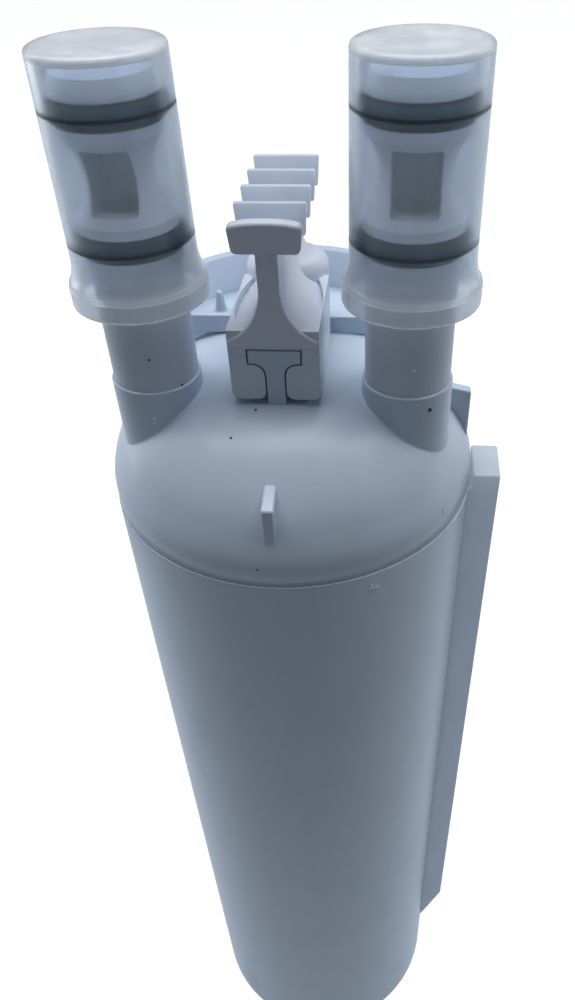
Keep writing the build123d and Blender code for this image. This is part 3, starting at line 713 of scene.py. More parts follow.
@dataclass(frozen=True)
class MilkyPlastic:
    """Thin translucent plastic with a grease line where each O-ring presses on it."""

    name: str
    ring_heights: Point = (237.1, 253.3)
    line_edges: Point = (0.16, 0.26)
    brim: float = 231.0
    roof: float = 259.15
    colour: Colour = (0.625, 0.66, 0.695)
    haze: Colour = (0.68, 0.71, 0.75)
    grease_colours: tuple[Colour, Colour] = ((0.001, 0.01, 0.024), (0.004, 0.018, 0.036))
    shadow_colour: tuple[float, ...] = (0.8, 0.83, 0.87, 1.0)
    roughness: float = 0.22
    milk: float = 0.09
    brim_milk: float = 0.22
    roof_milk: float = 0.45
    grease: float = 0.7
    wisp_width: float = 9.0
    flow_width: float = 3.0
    flow_stretch: Place = (1.0, 1.0, 0.15)
    clear_ior: float = 1.25
    milky_ior: float = 1.45
    milky_roughness: float = 0.3
    greasy_roughness: float = 0.6
    coat: float = 0.35
    coat_roughness: float = 0.14
    clear_reach: Point = (1.0, 3.2)
    brim_edges: Point = (-0.2, 1.6)
    roof_ease: float = 0.35

    def material(self) -> bpy.types.Material:
        """Builds the finish.

        Returns:
            The material.
        """
        graph = Graph.named(self.name)
        flow = graph.noise(self.flow_width, 3.0, self.flow_stretch)
        wisp = (graph.noise(self.wisp_width, 3.0) * 0.6 + flow * 0.4).ease(0.35, 0.7)
        clear = {
            "Base Color": graph.blend(wisp, self.colour, tinted(self.colour, 0.93)),
            "Roughness": wisp * 0.05 + self.roughness,
            "IOR": self.clear_ior,
            "Transmission Weight": 1.0,
            "Coat Weight": self.coat,
            "Coat Roughness": self.coat_roughness,
            "Coat IOR": self.milky_ior,
        }
        milky = {
            "Base Color": graph.blend(wisp, self.haze, tinted(self.haze, 1.12)),
            "Roughness": wisp * 0.1 + self.milky_roughness,
            "IOR": self.milky_ior,
        }
        grease = graph.blend(wisp, *self.grease_colours)
        greasy = {"Base Color": grease, "Roughness": self.greasy_roughness}
        share = self._milk_share(graph, wisp)
        wall = graph.mix(share, graph.principled(clear), graph.principled(milky))
        wall = graph.mix(self._press(graph), wall, graph.principled(greasy))
        open_way = graph.node("ShaderNodeBsdfTransparent", None, {"Color": self.shadow_colour})
        return graph.finish(graph.mix(graph.ray(Ray.SHADOW), wall, open_way.outputs[0]))

    def _press(self, graph: Graph) -> Value:
        """1 times the grease on the lines where the rings press, and 0 elsewhere.

        Args:
            graph: The material's graph.

        Returns:
            The share of grease that shows.
        """
        z = graph.height()
        lower, upper = (1 - abs(z - ring).ease(*self.line_edges) for ring in self.ring_heights)
        return lower.larger(upper) * self.grease

    def _milk_share(self, graph: Graph, wisp: Value) -> Value:
        """How milky each point is.

        Args:
            graph: The material's graph.
            wisp: Soft pattern of the milk.

        Returns:
            Little near the rings, more between them and most at the brim and the roof.
        """
        z = graph.height()
        low, high = self.ring_heights
        away = abs(abs(z - (low + high) / 2) - (high - low) / 2).ease(*self.clear_reach)
        at_brim = 1 - z.ease(*(self.brim + edge for edge in self.brim_edges))
        at_roof = z.ease(self.roof - self.roof_ease, self.roof)
        thick = at_brim * self.brim_milk + at_roof * (wisp * 0.1 + self.roof_milk)
        return (wisp * 0.06 + self.milk) * (away * 0.75 + 0.25) + thick


@dataclass(frozen=True)
class SealRubber:
    """Black rubber with a film of grease."""

    name: str
    colour: Colour = (0.004, 0.018, 0.033)
    sheen: tuple[float, ...] = (0.5, 0.78, 1.0, 1.0)
    roughness: float = 0.5
    film_width: float = 2.4
    grain_width: float = 0.25
    depth: float = 0.008
    ior: float = 1.36

    def material(self) -> bpy.types.Material:
        """Builds the finish.

        Returns:
            The material.
        """
        graph = Graph.named(self.name)
        film = graph.noise(self.film_width, 4.0)
        grain = graph.noise(self.grain_width, 2.0)
        inputs = {
            "Base Color": graph.blend(film.ease(0.3, 0.75), self.colour, tinted(self.colour, 2.0)),
            "Roughness": film * 0.2 + (self.roughness - 0.1),
            "IOR": self.ior,
            "Specular Tint": self.sheen,
            "Normal": graph.bump(grain * 0.2 + film * 0.8, self.depth),
        }
        return graph.finish(graph.principled(inputs))


@dataclass(frozen=True)
class DullSolid:
    """A matt material with coarse grain, for what is inside."""

    name: str
    colour: Colour
    grain: float
    depth: float
    contrast: float
    patch_grains: float = 12
    roughness: float = 0.65
    ior: float = 1.45

    def material(self) -> bpy.types.Material:
        """Builds the finish.

        Returns:
            The material.
        """
        graph = Graph.named(self.name)
        grit = graph.noise(self.grain, 4.0)
        patch = graph.noise(self.patch_grains * self.grain, 3.0)
        shade = (grit * 0.7 + patch * 0.3).ease(0.25, 0.75)
        low, high = (tinted(self.colour, 1 + turn * self.contrast) for turn in (-1, 1))
        inputs = {
            "Base Color": graph.blend(shade, low, high),
            "Roughness": grit * 0.2 + self.roughness,
            "IOR": self.ior,
            "Normal": graph.bump(grit, self.depth),
        }
        return graph.finish(graph.principled(inputs))


@dataclass(frozen=True)
class ThinPlastic:
    """Moulded plastic that lets a little of the light from behind through."""

    name: str
    colour: Colour
    roughness: float = 0.4
    glow: float = 0.45
    light_through: tuple[Colour, Colour] = ((0.8, 0.86, 0.94), (0.9, 0.95, 1.0))
    cloud_width: float = 6.0
    tones: Point = (0.95, 1.05)

    def material(self) -> bpy.types.Material:
        """Builds the finish.

        Returns:
            The material.
        """
        graph = Graph.named(self.name)
        shade = graph.noise(self.cloud_width, 3.0)
        low, high = (tinted(self.colour, tone) for tone in self.tones)
        front = {
            "Base Color": graph.blend(shade, low, high),
            "Roughness": shade * 0.1 + self.roughness,
            "IOR": PLASTIC_IOR,
        }
        passed = {"Color": graph.blend(shade, *self.light_through)}
        through = graph.node("ShaderNodeBsdfTranslucent", None, passed).outputs[0]
        share = shade * 0.1 + (self.glow - 0.05)
        return graph.finish(graph.mix(share, graph.principled(front), through))


@dataclass(frozen=True)
class Mark:
    """The finish of a fleck of dust or a nick."""

    name: str
    colour: Colour
    patch_width: float = 0.3
    tones: Point = (0.8, 1.2)
    roughness: float = 0.6

    def material(self) -> bpy.types.Material:
        """Builds the finish.

        Returns:
            The material.
        """
        graph = Graph.named(self.name)
        patch = graph.noise(self.patch_width, 2.0)
        low, high = (tinted(self.colour, tone) for tone in self.tones)
        inputs = {
            "Base Color": graph.blend(patch, low, high),
            "Roughness": patch * 0.2 + self.roughness,
        }
        return graph.finish(graph.principled(inputs))


@dataclass(frozen=True)
class Finishes:
    """Every material of the cartridge."""

    shell: bpy.types.Material = field(
        default_factory=MouldedPlastic("shell_plastic", (0.51, 0.6, 0.72)).material
    )
    nozzle: bpy.types.Material = field(
        default_factory=MouldedPlastic("nozzle_plastic", (0.54, 0.6, 0.695), 0.42).material
    )
    key: bpy.types.Material = field(
        default_factory=MouldedPlastic("key_plastic", (0.63, 0.68, 0.775), 0.42, 0.03, 0.02).material
    )
    wall: bpy.types.Material = field(
        default_factory=ThinPlastic("thin_wall_plastic", (0.51, 0.6, 0.72), 0.36, 0.4).material
    )
    # Painted light: the rail is the same moulding as the shell, but its colour is set lighter to stand for
    # the side light that falls on its front.
    rail: bpy.types.Material = field(
        default_factory=ThinPlastic("rail_plastic", (0.62, 0.67, 0.73), 0.36, 0.35).material
    )
    comb: bpy.types.Material = field(
        default_factory=ThinPlastic("thin_key_plastic", (0.62, 0.66, 0.74)).material
    )
    cap: bpy.types.Material = field(default_factory=MilkyPlastic("milky_plastic").material)
    rubber: bpy.types.Material = field(default_factory=SealRubber("seal_rubber").material)
    carbon: bpy.types.Material = field(
        default_factory=DullSolid("pressed_carbon", (0.03, 0.03, 0.032), 0.6, 0.15, 0.4).material
    )
    felt: bpy.types.Material = field(
        default_factory=DullSolid("prefilter_felt", (0.72, 0.72, 0.7), 0.35, 0.12, 0.08).material
    )
    core: bpy.types.Material = field(
        default_factory=DullSolid("porous_core", (0.74, 0.74, 0.71), 0.5, 0.1, 0.06).material
    )
    net: bpy.types.Material = field(
        default_factory=MouldedPlastic("net_plastic", (0.72, 0.73, 0.73), 0.5).material
    )
    end_cap: bpy.types.Material = field(
        default_factory=MouldedPlastic("end_cap_plastic", (0.68, 0.7, 0.72), 0.5).material
    )
    dark_mark: bpy.types.Material = field(default_factory=Mark("dark_fleck", (0.03, 0.03, 0.035)).material)
    pale_mark: bpy.types.Material = field(default_factory=Mark("pale_fleck", (0.9, 0.93, 0.96)).material)


# Geometry node recipes


class Recipe(NodeMaker):
    """A geometry node tree with named inputs, run once into a plain mesh."""

    def __init__(self, name: str) -> None:
        """Starts a tree with a geometry input and output.

        Args:
            name: The tree's name.
        """
        super().__init__(bpy.data.node_groups.new(name, "GeometryNodeTree"))
        self.tree.is_modifier = True
        for way in ("INPUT", "OUTPUT"):
            self.tree.interface.new_socket("Geometry", in_out=way, socket_type="NodeSocketGeometry")
        self.entry = self.node("NodeGroupInput")
        self.exit = self.node("NodeGroupOutput")
        self.values: dict[str, object] = {}

    def given(self, name: str, kind: str, value: object) -> bpy.types.NodeSocket:
        """Adds a named input.

        Args:
            name: The input's name.
            kind: Socket type, such as Float, Int, Vector, Object or Material.
            value: What it is set to when the recipe runs.

        Returns:
            The socket inside the tree.
        """
        socket_type = f"NodeSocket{kind}"
        item = self.tree.interface.new_socket(name, in_out="INPUT", socket_type=socket_type)
        self.values[item.identifier] = value
        return next(each for each in self.entry.outputs if each.identifier == item.identifier)

    def repeat(
        self,
        shape: bpy.types.NodeSocket,
        count: bpy.types.NodeSocket,
        first: bpy.types.NodeSocket,
        pitch: bpy.types.NodeSocket,
    ) -> bpy.types.NodeSocket:
        """Repeats a shape along a straight row.

        Args:
            shape: Geometry of one copy.
            count: How many copies.
            first: Where the first one stands.
            pitch: Step from one to the next.

        Returns:
            The row of instances.
        """
        inputs = {"Count": count, "Start Location": first, "Offset": pitch}
        places = self.node("GeometryNodeMeshLine", {"mode": "OFFSET"}, inputs)
        inputs = {"Points": places.outputs[0], "Instance": shape}
        return self.node("GeometryNodeInstanceOnPoints", None, inputs).outputs[0]

    def run(
        self, name: str, result: bpy.types.NodeSocket, material: bpy.types.NodeSocket
    ) -> bpy.types.Object:
        """Realizes the instances, sets the finish and makes a plain mesh.

        Args:
            name: Name of the piece.
            result: The tree's last geometry.
            material: The socket that gives the finish.

        Returns:
            The new object.
        """
        real = self.node("GeometryNodeRealizeInstances", None, {"Geometry": result})
        inputs = {"Geometry": real.outputs[0], "Material": material}
        painted = self.node("GeometryNodeSetMaterial", None, inputs)
        self.tree.links.new(painted.outputs[0], self.exit.inputs[0])
        made = new_object(name, bpy.data.meshes.new(name))
        modifier = made.modifiers.new("recipe", "NODES")
        modifier.node_group = self.tree
        for identifier, value in self.values.items():
            modifier[identifier] = value
        return settle(made)


# Sub-assemblies


@dataclass
class Levels:
    """Heights and radii that the frame gives, in millimetres."""

    seam: float
    body_radius: float
    rail_face: float
    boss_top: float
    nozzle_top: float
    nozzle_x: float
    nozzle_y: float
    cap_bottom: float
    cap_top: float

    @classmethod
    def from_frame(cls) -> "Levels":
        """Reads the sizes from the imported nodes.

        Returns:
            The levels that every class builds from.
        """
        shell_low, shell_high = (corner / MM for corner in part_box("body_shell"))
        head_low, head_high = (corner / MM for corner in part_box("head_cap"))
        tube_low, tube_high = (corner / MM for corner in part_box("right_nozzle"))
        cap_low, cap_high = (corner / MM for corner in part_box("right_protective_cap"))
        return cls(
            seam=head_low.z + HeadCap.spigot_length,
            body_radius=-shell_low.x,
            rail_face=shell_high.x,
            boss_top=tube_low.z + Nozzle.spigot_length,
            nozzle_top=tube_high.z,
            nozzle_x=(tube_low.x + tube_high.x) / 2,
            nozzle_y=(tube_low.y + tube_high.y) / 2,
            cap_bottom=cap_low.z,
            cap_top=cap_high.z,
        )


@dataclass
class BodyShell:
    """Round shell with its guide rail."""

    levels: Levels
    finishes: Finishes
    wall: float = 2.2
    floor: float = 3.0
    foot_radius: float = 4.5
    inner_foot_radius: float = 2.3
    lip: float = 0.1
    bead: float = 0.16
    bead_sink: float = 0.01
    rail_half_width: float = 4.6
    rail_edge: float = 0.4
    rail_lap: float = 0.2
    rail_above_seam: float = 2.6
    rail_bottom: float = 24.0
    ramp_length: float = 15.0
    head_gap: float = 0.3

    def build(self) -> list[bpy.types.Object]:
        """Makes the shell, the rail and the weld bead."""
        return [self._shell(), self._rail(), self._bead()]

    def _bead(self) -> bpy.types.Object:
        """The fine bead that the weld leaves on the seam's ledge.

        Returns:
            The finished bead.
        """
        reach = self.levels.body_radius - self.bead - self.bead_sink
        section = arc((reach, self.levels.seam + self.bead / 2), self.bead, 0, 360, 12)[:-1]
        made = lathe("weld_bead", section, steps=SHELL_STEPS)
        return finished(made, self.finishes.shell, Body.CARTRIDGE, Slot.WHITE, ("body_shell",))

    def _shell(self) -> bpy.types.Object:
        """The turned shell with a rounded foot and a fine lip at the seam.

        Returns:
            The finished shell.
        """
        radius = self.levels.body_radius
        top = self.levels.seam
        inner = radius - self.wall
        bend = self.inner_foot_radius
        foot = arc((radius - self.foot_radius, self.foot_radius), self.foot_radius, -90, 0, 12)
        lip = arc((radius - self.lip, top - self.lip), self.lip, 0, 90, 4)
        hollow_edge = arc((inner - bend, self.floor + bend), bend, 0, -90, 6)
        outline = [(0, 0), *foot, *lip, (inner, top), *hollow_edge, (0, self.floor)]
        made = even_shading(lathe("body_shell_skin", outline, steps=SHELL_STEPS))
        return finished(made, self.finishes.shell, Body.CARTRIDGE, Slot.WHITE, ("body_shell",))

    def _rail(self) -> bpy.types.Object:
        """The guide rail with softened edges and a ramp at its foot.

        Returns:
            The finished rail.
        """
        radius = self.levels.body_radius
        root = radius - self.wall / 2
        top = self.levels.seam + self.rail_above_seam
        inner = radius + self.head_gap
        outline = [
            (root, self.rail_bottom),
            (radius, self.rail_bottom),
            (self.levels.rail_face, self.rail_bottom + self.ramp_length),
            (self.levels.rail_face, top),
            (inner, top),
            (inner, self.levels.seam - self.rail_lap),
            (root, self.levels.seam - self.rail_lap),
        ]
        half = self.rail_half_width
        made = prism("guide_rail", outline, Axis.Y, -half, half)
        made = soften(made, self.rail_edge, segments=4, angle=50)
        # The rail's finish is painted light: a lighter copy of the shell plastic.
        return finished(made, self.finishes.rail, Body.CARTRIDGE, Slot.WHITE, ("body_shell",))


@dataclass
class Dome:
    """The head's outer shape: a knuckle that runs smoothly into a flat crown."""

    seam: float
    radius: float = 31.0
    crown_height: float = 21.9
    crown_radius: float = 200.0
    knuckle_radius: float = 20.0

    @property
    def knuckle_reach(self) -> float:
        """Distance of the knuckle's centre from the axis."""
        return self.radius - self.knuckle_radius

    @property
    def crown_centre(self) -> float:
        """Height of the crown's centre."""
        return self.seam + self.crown_height - self.crown_radius

    @property
    def knuckle_z(self) -> float:
        """Height of the knuckle's centre."""
        reach = (self.crown_radius - self.knuckle_radius) ** 2 - self.knuckle_reach ** 2
        return self.crown_centre + math.sqrt(reach)

    @property
    def join(self) -> float:
        """Angle above the horizon, in degrees, where knuckle and crown meet."""
        return math.degrees(math.atan2(self.knuckle_z - self.crown_centre, self.knuckle_reach))

    def height(self, distance: float, offset: float = 0.0) -> float:
        """Height of the surface.

        Args:
            distance: How far from the axis.
            offset: How far outside the real surface.

        Returns:
            The height above the floor.
        """
        ball = self.knuckle_radius + offset
        if distance > self.knuckle_reach + ball * math.cos(math.radians(self.join)):
            return self.knuckle_z + math.sqrt(ball ** 2 - (distance - self.knuckle_reach) ** 2)
        return self.crown_centre + math.sqrt((self.crown_radius + offset) ** 2 - distance ** 2)

    def normal(self, x: float, y: float, z: float) -> Vector:
        """Outward direction at a point near the surface.

        Args:
            x: The point's X.
            y: Its Y.
            z: Its height.

        Returns:
            A direction of length 1.
        """
        distance = math.hypot(x, y)
        ring = min(distance, self.knuckle_reach)
        high = self.knuckle_z
        if math.degrees(math.atan2(z - self.knuckle_z, distance - self.knuckle_reach)) > self.join:
            ring, high = 0.0, self.crown_centre
        unit = Vector((x, y, 0)) / distance
        return (Vector((x, y, z)) - (unit * ring + Vector((0, 0, high)))).normalized()

    def shoulder(self, low: float, high: float, steps: int = 24) -> list[Point]:
        """A smooth curve from the upright skirt to the knuckle.

        Args:
            low: Height where the skirt ends.
            high: Height where the knuckle takes over.
            steps: Number of equal steps.

        Returns:
            Points from the skirt up to the knuckle, both ends included.
        """
        rise = high - self.knuckle_z
        reach = math.sqrt(self.knuckle_radius ** 2 - rise ** 2)
        end = (self.knuckle_reach + reach, high)
        span = math.dist((self.radius, low), end)
        pull = (-rise / self.knuckle_radius * span, reach / self.knuckle_radius * span)
        points = []
        for step in range(steps + 1):
            t = step / steps
            start_part = 2 * t ** 3 - 3 * t ** 2 + 1
            end_part = 3 * t ** 2 - 2 * t ** 3
            start_pull = t ** 3 - 2 * t ** 2 + t
            end_pull = t ** 3 - t ** 2
            x = start_part * self.radius + end_part * end[0] + end_pull * pull[0]
            z = start_part * low + end_part * end[1] + start_pull * span + end_pull * pull[1]
            points.append((x, z))
        return points

    def section(self, inset: float, low: float) -> list[Point]:
        """The surface's section from a height up to the crown.

        Args:
            inset: How far inside the outer surface it lies.
            low: Height where it starts.

        Returns:
            Points from the rim to the axis.
        """
        ball = self.knuckle_radius - inset
        first = math.degrees(math.asin((low - self.knuckle_z) / ball))
        knuckle = arc((self.knuckle_reach, self.knuckle_z), ball, first, self.join, 40)
        crown = arc((0, self.crown_centre), self.crown_radius - inset, self.join, 90, 10)
        return knuckle + crown[1:-1] + [(0, self.crown_centre + self.crown_radius - inset)]


@dataclass
class HeadCap:
    """Moulded head: dome, bosses, ribs, T-rail and rear shelf."""

    levels: Levels
    finishes: Finishes
    dome: Dome
    wall: float = 2.6
    skirt_height: float = 3.6
    shoulder_height: float = 9.6
    spigot_length: float = 8.0
    spigot_radius: float = 28.95
    spigot_wall: float = 2.0
    boss_radius: float = 6.88
    boss_inner_radius: float = 6.3
    boss_inner_depth: float = 15.5
    boss_fillet: float = 0.4
    fillet_steps: int = 6
    boss_edge: float = 0.3
    boss_sink: float = 0.3
    socket_radius: float = 5.55
    socket_depth: float = 5.5
    passage_radius: float = 4.45
    tee_half_width: float = 3.85
    tee_top: float = 30.4
    tee_thickness: float = 2.1
    tee_stem_half: float = 1.35
    tee_fillet: float = 2.0
    tee_front: float = -13.2
    tee_rear: float = 4.1
    tee_sink: float = 1.5
    tee_edge: float = 0.1
    shelf_front: float = 9.2
    shelf_top: float = 24.5
    shelf_thickness: float = 3.3
    shelf_edge: float = 0.3
    wall_inner_radius: float = 21.5
    wall_thickness: float = 1.8
    wall_height: float = 6.5
    wall_sink: float = 1.2
    wall_edge: float = 0.38
    peg_x: float = -12.4
    peg_setback: float = 1.8
    peg_height: float = 3.5
    peg_radius: float = 0.95
    peg_tip: float = 0.55
    peg_flare: float = 0.4
    peg_sink: float = 1.0
    rib_thickness: float = 1.9
    rib_reach: float = 30.0
    rib_root: float = 22.5
    rib_top: float = 14.4
    rib_rise: float = 1.8
    rib_edge: float = 0.42
    side_rib_lift: float = 2.4

    def build(self) -> list[bpy.types.Object]:
        """Makes every piece of the head.

        Returns:
            The finished pieces.
        """
        made = [self._dome_shell(), self._tee_rail(), self._shelf(), self._wall(), self._peg()]
        made += [self._boss(side) for side in Side]
        made += [self._rib("front_rib", 0.0, -90.0), self._rib("side_rib", self.side_rib_lift, 0.0)]
        return [self._dressed(piece) for piece in made]

    def _dressed(self, piece: bpy.types.Object) -> bpy.types.Object:
        """Gives a piece of the head its finish and place."""
        look = self.finishes.wall if piece.name == "arc_wall" else self.finishes.shell
        return finished(piece, look, Body.CARTRIDGE, Slot.WHITE, ("head_cap",))

    def _dome_shell(self) -> bpy.types.Object:
        """Dome, skirt and spigot as one turned shell.

        Returns:
            The turned shell.
        """
        seam = self.levels.seam
        shoulder = seam + self.shoulder_height
        radius = self.dome.radius
        skirt = self.dome.shoulder(seam + self.skirt_height, shoulder)
        spigot_foot = seam - self.spigot_length
        spigot_inner = self.spigot_radius - self.spigot_wall
        outside = self.dome.section(0.0, shoulder)[1:]
        inside = list(reversed(self.dome.section(self.wall, seam + self.wall)))
        outline = [(self.spigot_radius, spigot_foot), (self.spigot_radius, seam), (radius, seam), *skirt]
        outline += outside + inside
        outline += [(spigot_inner, seam + self.wall), (spigot_inner, spigot_foot)]
        return even_shading(lathe("head_dome", outline, steps=SHELL_STEPS))

    def _boss(self, side: Side) -> bpy.types.Object:
        """A boss that grows out of the dome through a small fillet.

        Args:
            side: Which nozzle it carries.

        Returns:
            The boss as a closed mesh.
        """
        x, y = side.value * self.levels.nozzle_x, self.levels.nozzle_y
        top = self.levels.boss_top
        bottom = top - self.boss_inner_depth
        floor = top - self.socket_depth
        fillet = self.boss_fillet
        bend = self.boss_edge
        fixed = [
            *arc((self.boss_radius - bend, top - bend), bend, 0, 90, 4),
            (self.socket_radius, top),
            (self.socket_radius, floor),
            (self.passage_radius, floor),
            (self.passage_radius, bottom),
            (self.boss_inner_radius, bottom),
        ]
        work = bmesh.new()
        columns = []
        for step in range(ROUND_STEPS):
            turn = 2 * math.pi * step / ROUND_STEPS
            out = Vector((math.cos(turn), math.sin(turn), 0))
            middle = Vector((x, y, 0)) + out * (self.boss_radius + fillet)
            middle.z = self.dome.height(math.hypot(middle.x, middle.y), fillet)
            down = -self.dome.normal(*middle)
            start = math.atan2(down.z, down.dot(out))
            sweep = -math.pi - start if start < 0 else math.pi - start
            under = middle + down * (fillet + self.boss_sink)
            column = [work.verts.new(under * MM)]
            for part in range(self.fillet_steps + 1):
                angle = start + sweep * part / self.fillet_steps
                point = middle + (out * math.cos(angle) + Vector((0, 0, 1)) * math.sin(angle)) * fillet
                column.append(work.verts.new(point * MM))
            for radius, height in fixed:
                place = Vector((x, y, height)) + out * radius
                column.append(work.verts.new(place * MM))
            columns.append(column)
        for step, column in enumerate(columns):
            after = columns[(step + 1) % ROUND_STEPS]
            for row in range(len(column)):
                up = (row + 1) % len(column)
                work.faces.new([column[row], after[row], after[up], column[up]])
        return even_shading(from_bmesh(f"{side.word}_boss", work))

    def tee_outline(self, grow: float, foot: float) -> list[Point]:
        """Section of the T-rail, grown by a gap.

        Args:
            grow: How far outside the rail it lies.
            foot: Height of its foot.

        Returns:
            The closed outline as X and Z.
        """
        top = self.levels.seam + self.tee_top + grow
        under = self.levels.seam + self.tee_top - self.tee_thickness - grow
        bend = self.tee_fillet - grow
        stem = self.tee_stem_half + grow
        half = self.tee_half_width + grow
        curve = arc((stem + bend, under - bend), bend, 180, 90, 8)
        return mirrored([(stem, foot), *curve, (half, under), (half, top)])

    def _tee_rail(self) -> bpy.types.Object:
        """The T-rail that carries the key.

        Returns:
            The rail, rooted in the dome.
        """
        foot = self.levels.seam + self.dome.crown_height - self.tee_sink
        made = prism("tee_rail", self.tee_outline(0.0, foot), Axis.Y, self.tee_front, self.tee_rear)
        return soften(made, self.tee_edge, segments=2)

    def _half_disc(self, radius: float, setback: float = 0.0) -> list[Point]:
        """Outline of a disc behind the shelf's front edge.

        Args:
            radius: The disc's radius.
            setback: How far behind the shelf's front edge it starts.

        Returns:
            The closed outline as X and Y.
        """
        front = self.shelf_front + setback
        first = math.degrees(math.asin(front / radius))
        return arc((0, 0), radius, first, 180 - first, 72)

    def _shelf(self) -> bpy.types.Object:
        """The flat shelf behind the nozzles.

        Returns:
            The flat plate.
        """
        top = self.levels.seam + self.shelf_top
        radius = self.wall_inner_radius + self.wall_thickness / 2
        made = prism("rear_shelf", self._half_disc(radius), Axis.Z, top - self.shelf_thickness, top)
        return soften(made, self.shelf_edge, segments=4)

    def _wall(self) -> bpy.types.Object:
        """The arc wall round the shelf.

        Returns:
            The wall, rooted in the dome.
        """
        outer = self.wall_inner_radius + self.wall_thickness
        top = self.levels.seam + self.shelf_top + self.wall_height
        foot = self.dome.height(outer) - self.wall_sink
        outline = self._half_disc(outer) + list(reversed(self._half_disc(self.wall_inner_radius)))
        return soften(prism("arc_wall", outline, Axis.Z, foot, top), self.wall_edge, segments=4)

    def _peg(self) -> bpy.types.Object:
        """The small tapered peg on the shelf.

        Returns:
            The turned peg.
        """
        foot = self.levels.seam + self.shelf_top
        top = foot + self.peg_height
        tip = arc((0, top - self.peg_tip), self.peg_tip, 20, 90, 6)[:-1]
        bend, low = self.peg_flare, foot - self.peg_sink
        flare = arc((self.peg_radius + bend, foot + bend), bend, -90, -170, 5)
        outline = [(0, low), (self.peg_radius + bend, low), *flare, *tip, (0, top)]
        centre = (self.peg_x, self.shelf_front + self.peg_setback)
        return even_shading(lathe("shelf_peg", outline, centre, PEG_STEPS))

    def _rib(self, name: str, lift: float, heading: float) -> bpy.types.Object:
        """A short radial rib on the knuckle.

        Args:
            name: Name of the piece.
            lift: How much taller it is than the front rib.
            heading: Where it points, in degrees from +X.

        Returns:
            The rib.
        """
        top = self.levels.seam + self.rib_top + lift
        foot = self.levels.seam + self.wall
        outline = [(self.rib_root, foot), (self.rib_reach, foot), (self.rib_reach, top)]
        outline.append((self.rib_root, top + self.rib_rise))
        half = self.rib_thickness / 2
        made = soften(prism(name, outline, Axis.Y, -half, half), self.rib_edge, segments=5, angle=40)
        made.data.transform(Matrix.Rotation(math.radians(heading), 4, "Z"))
        return made


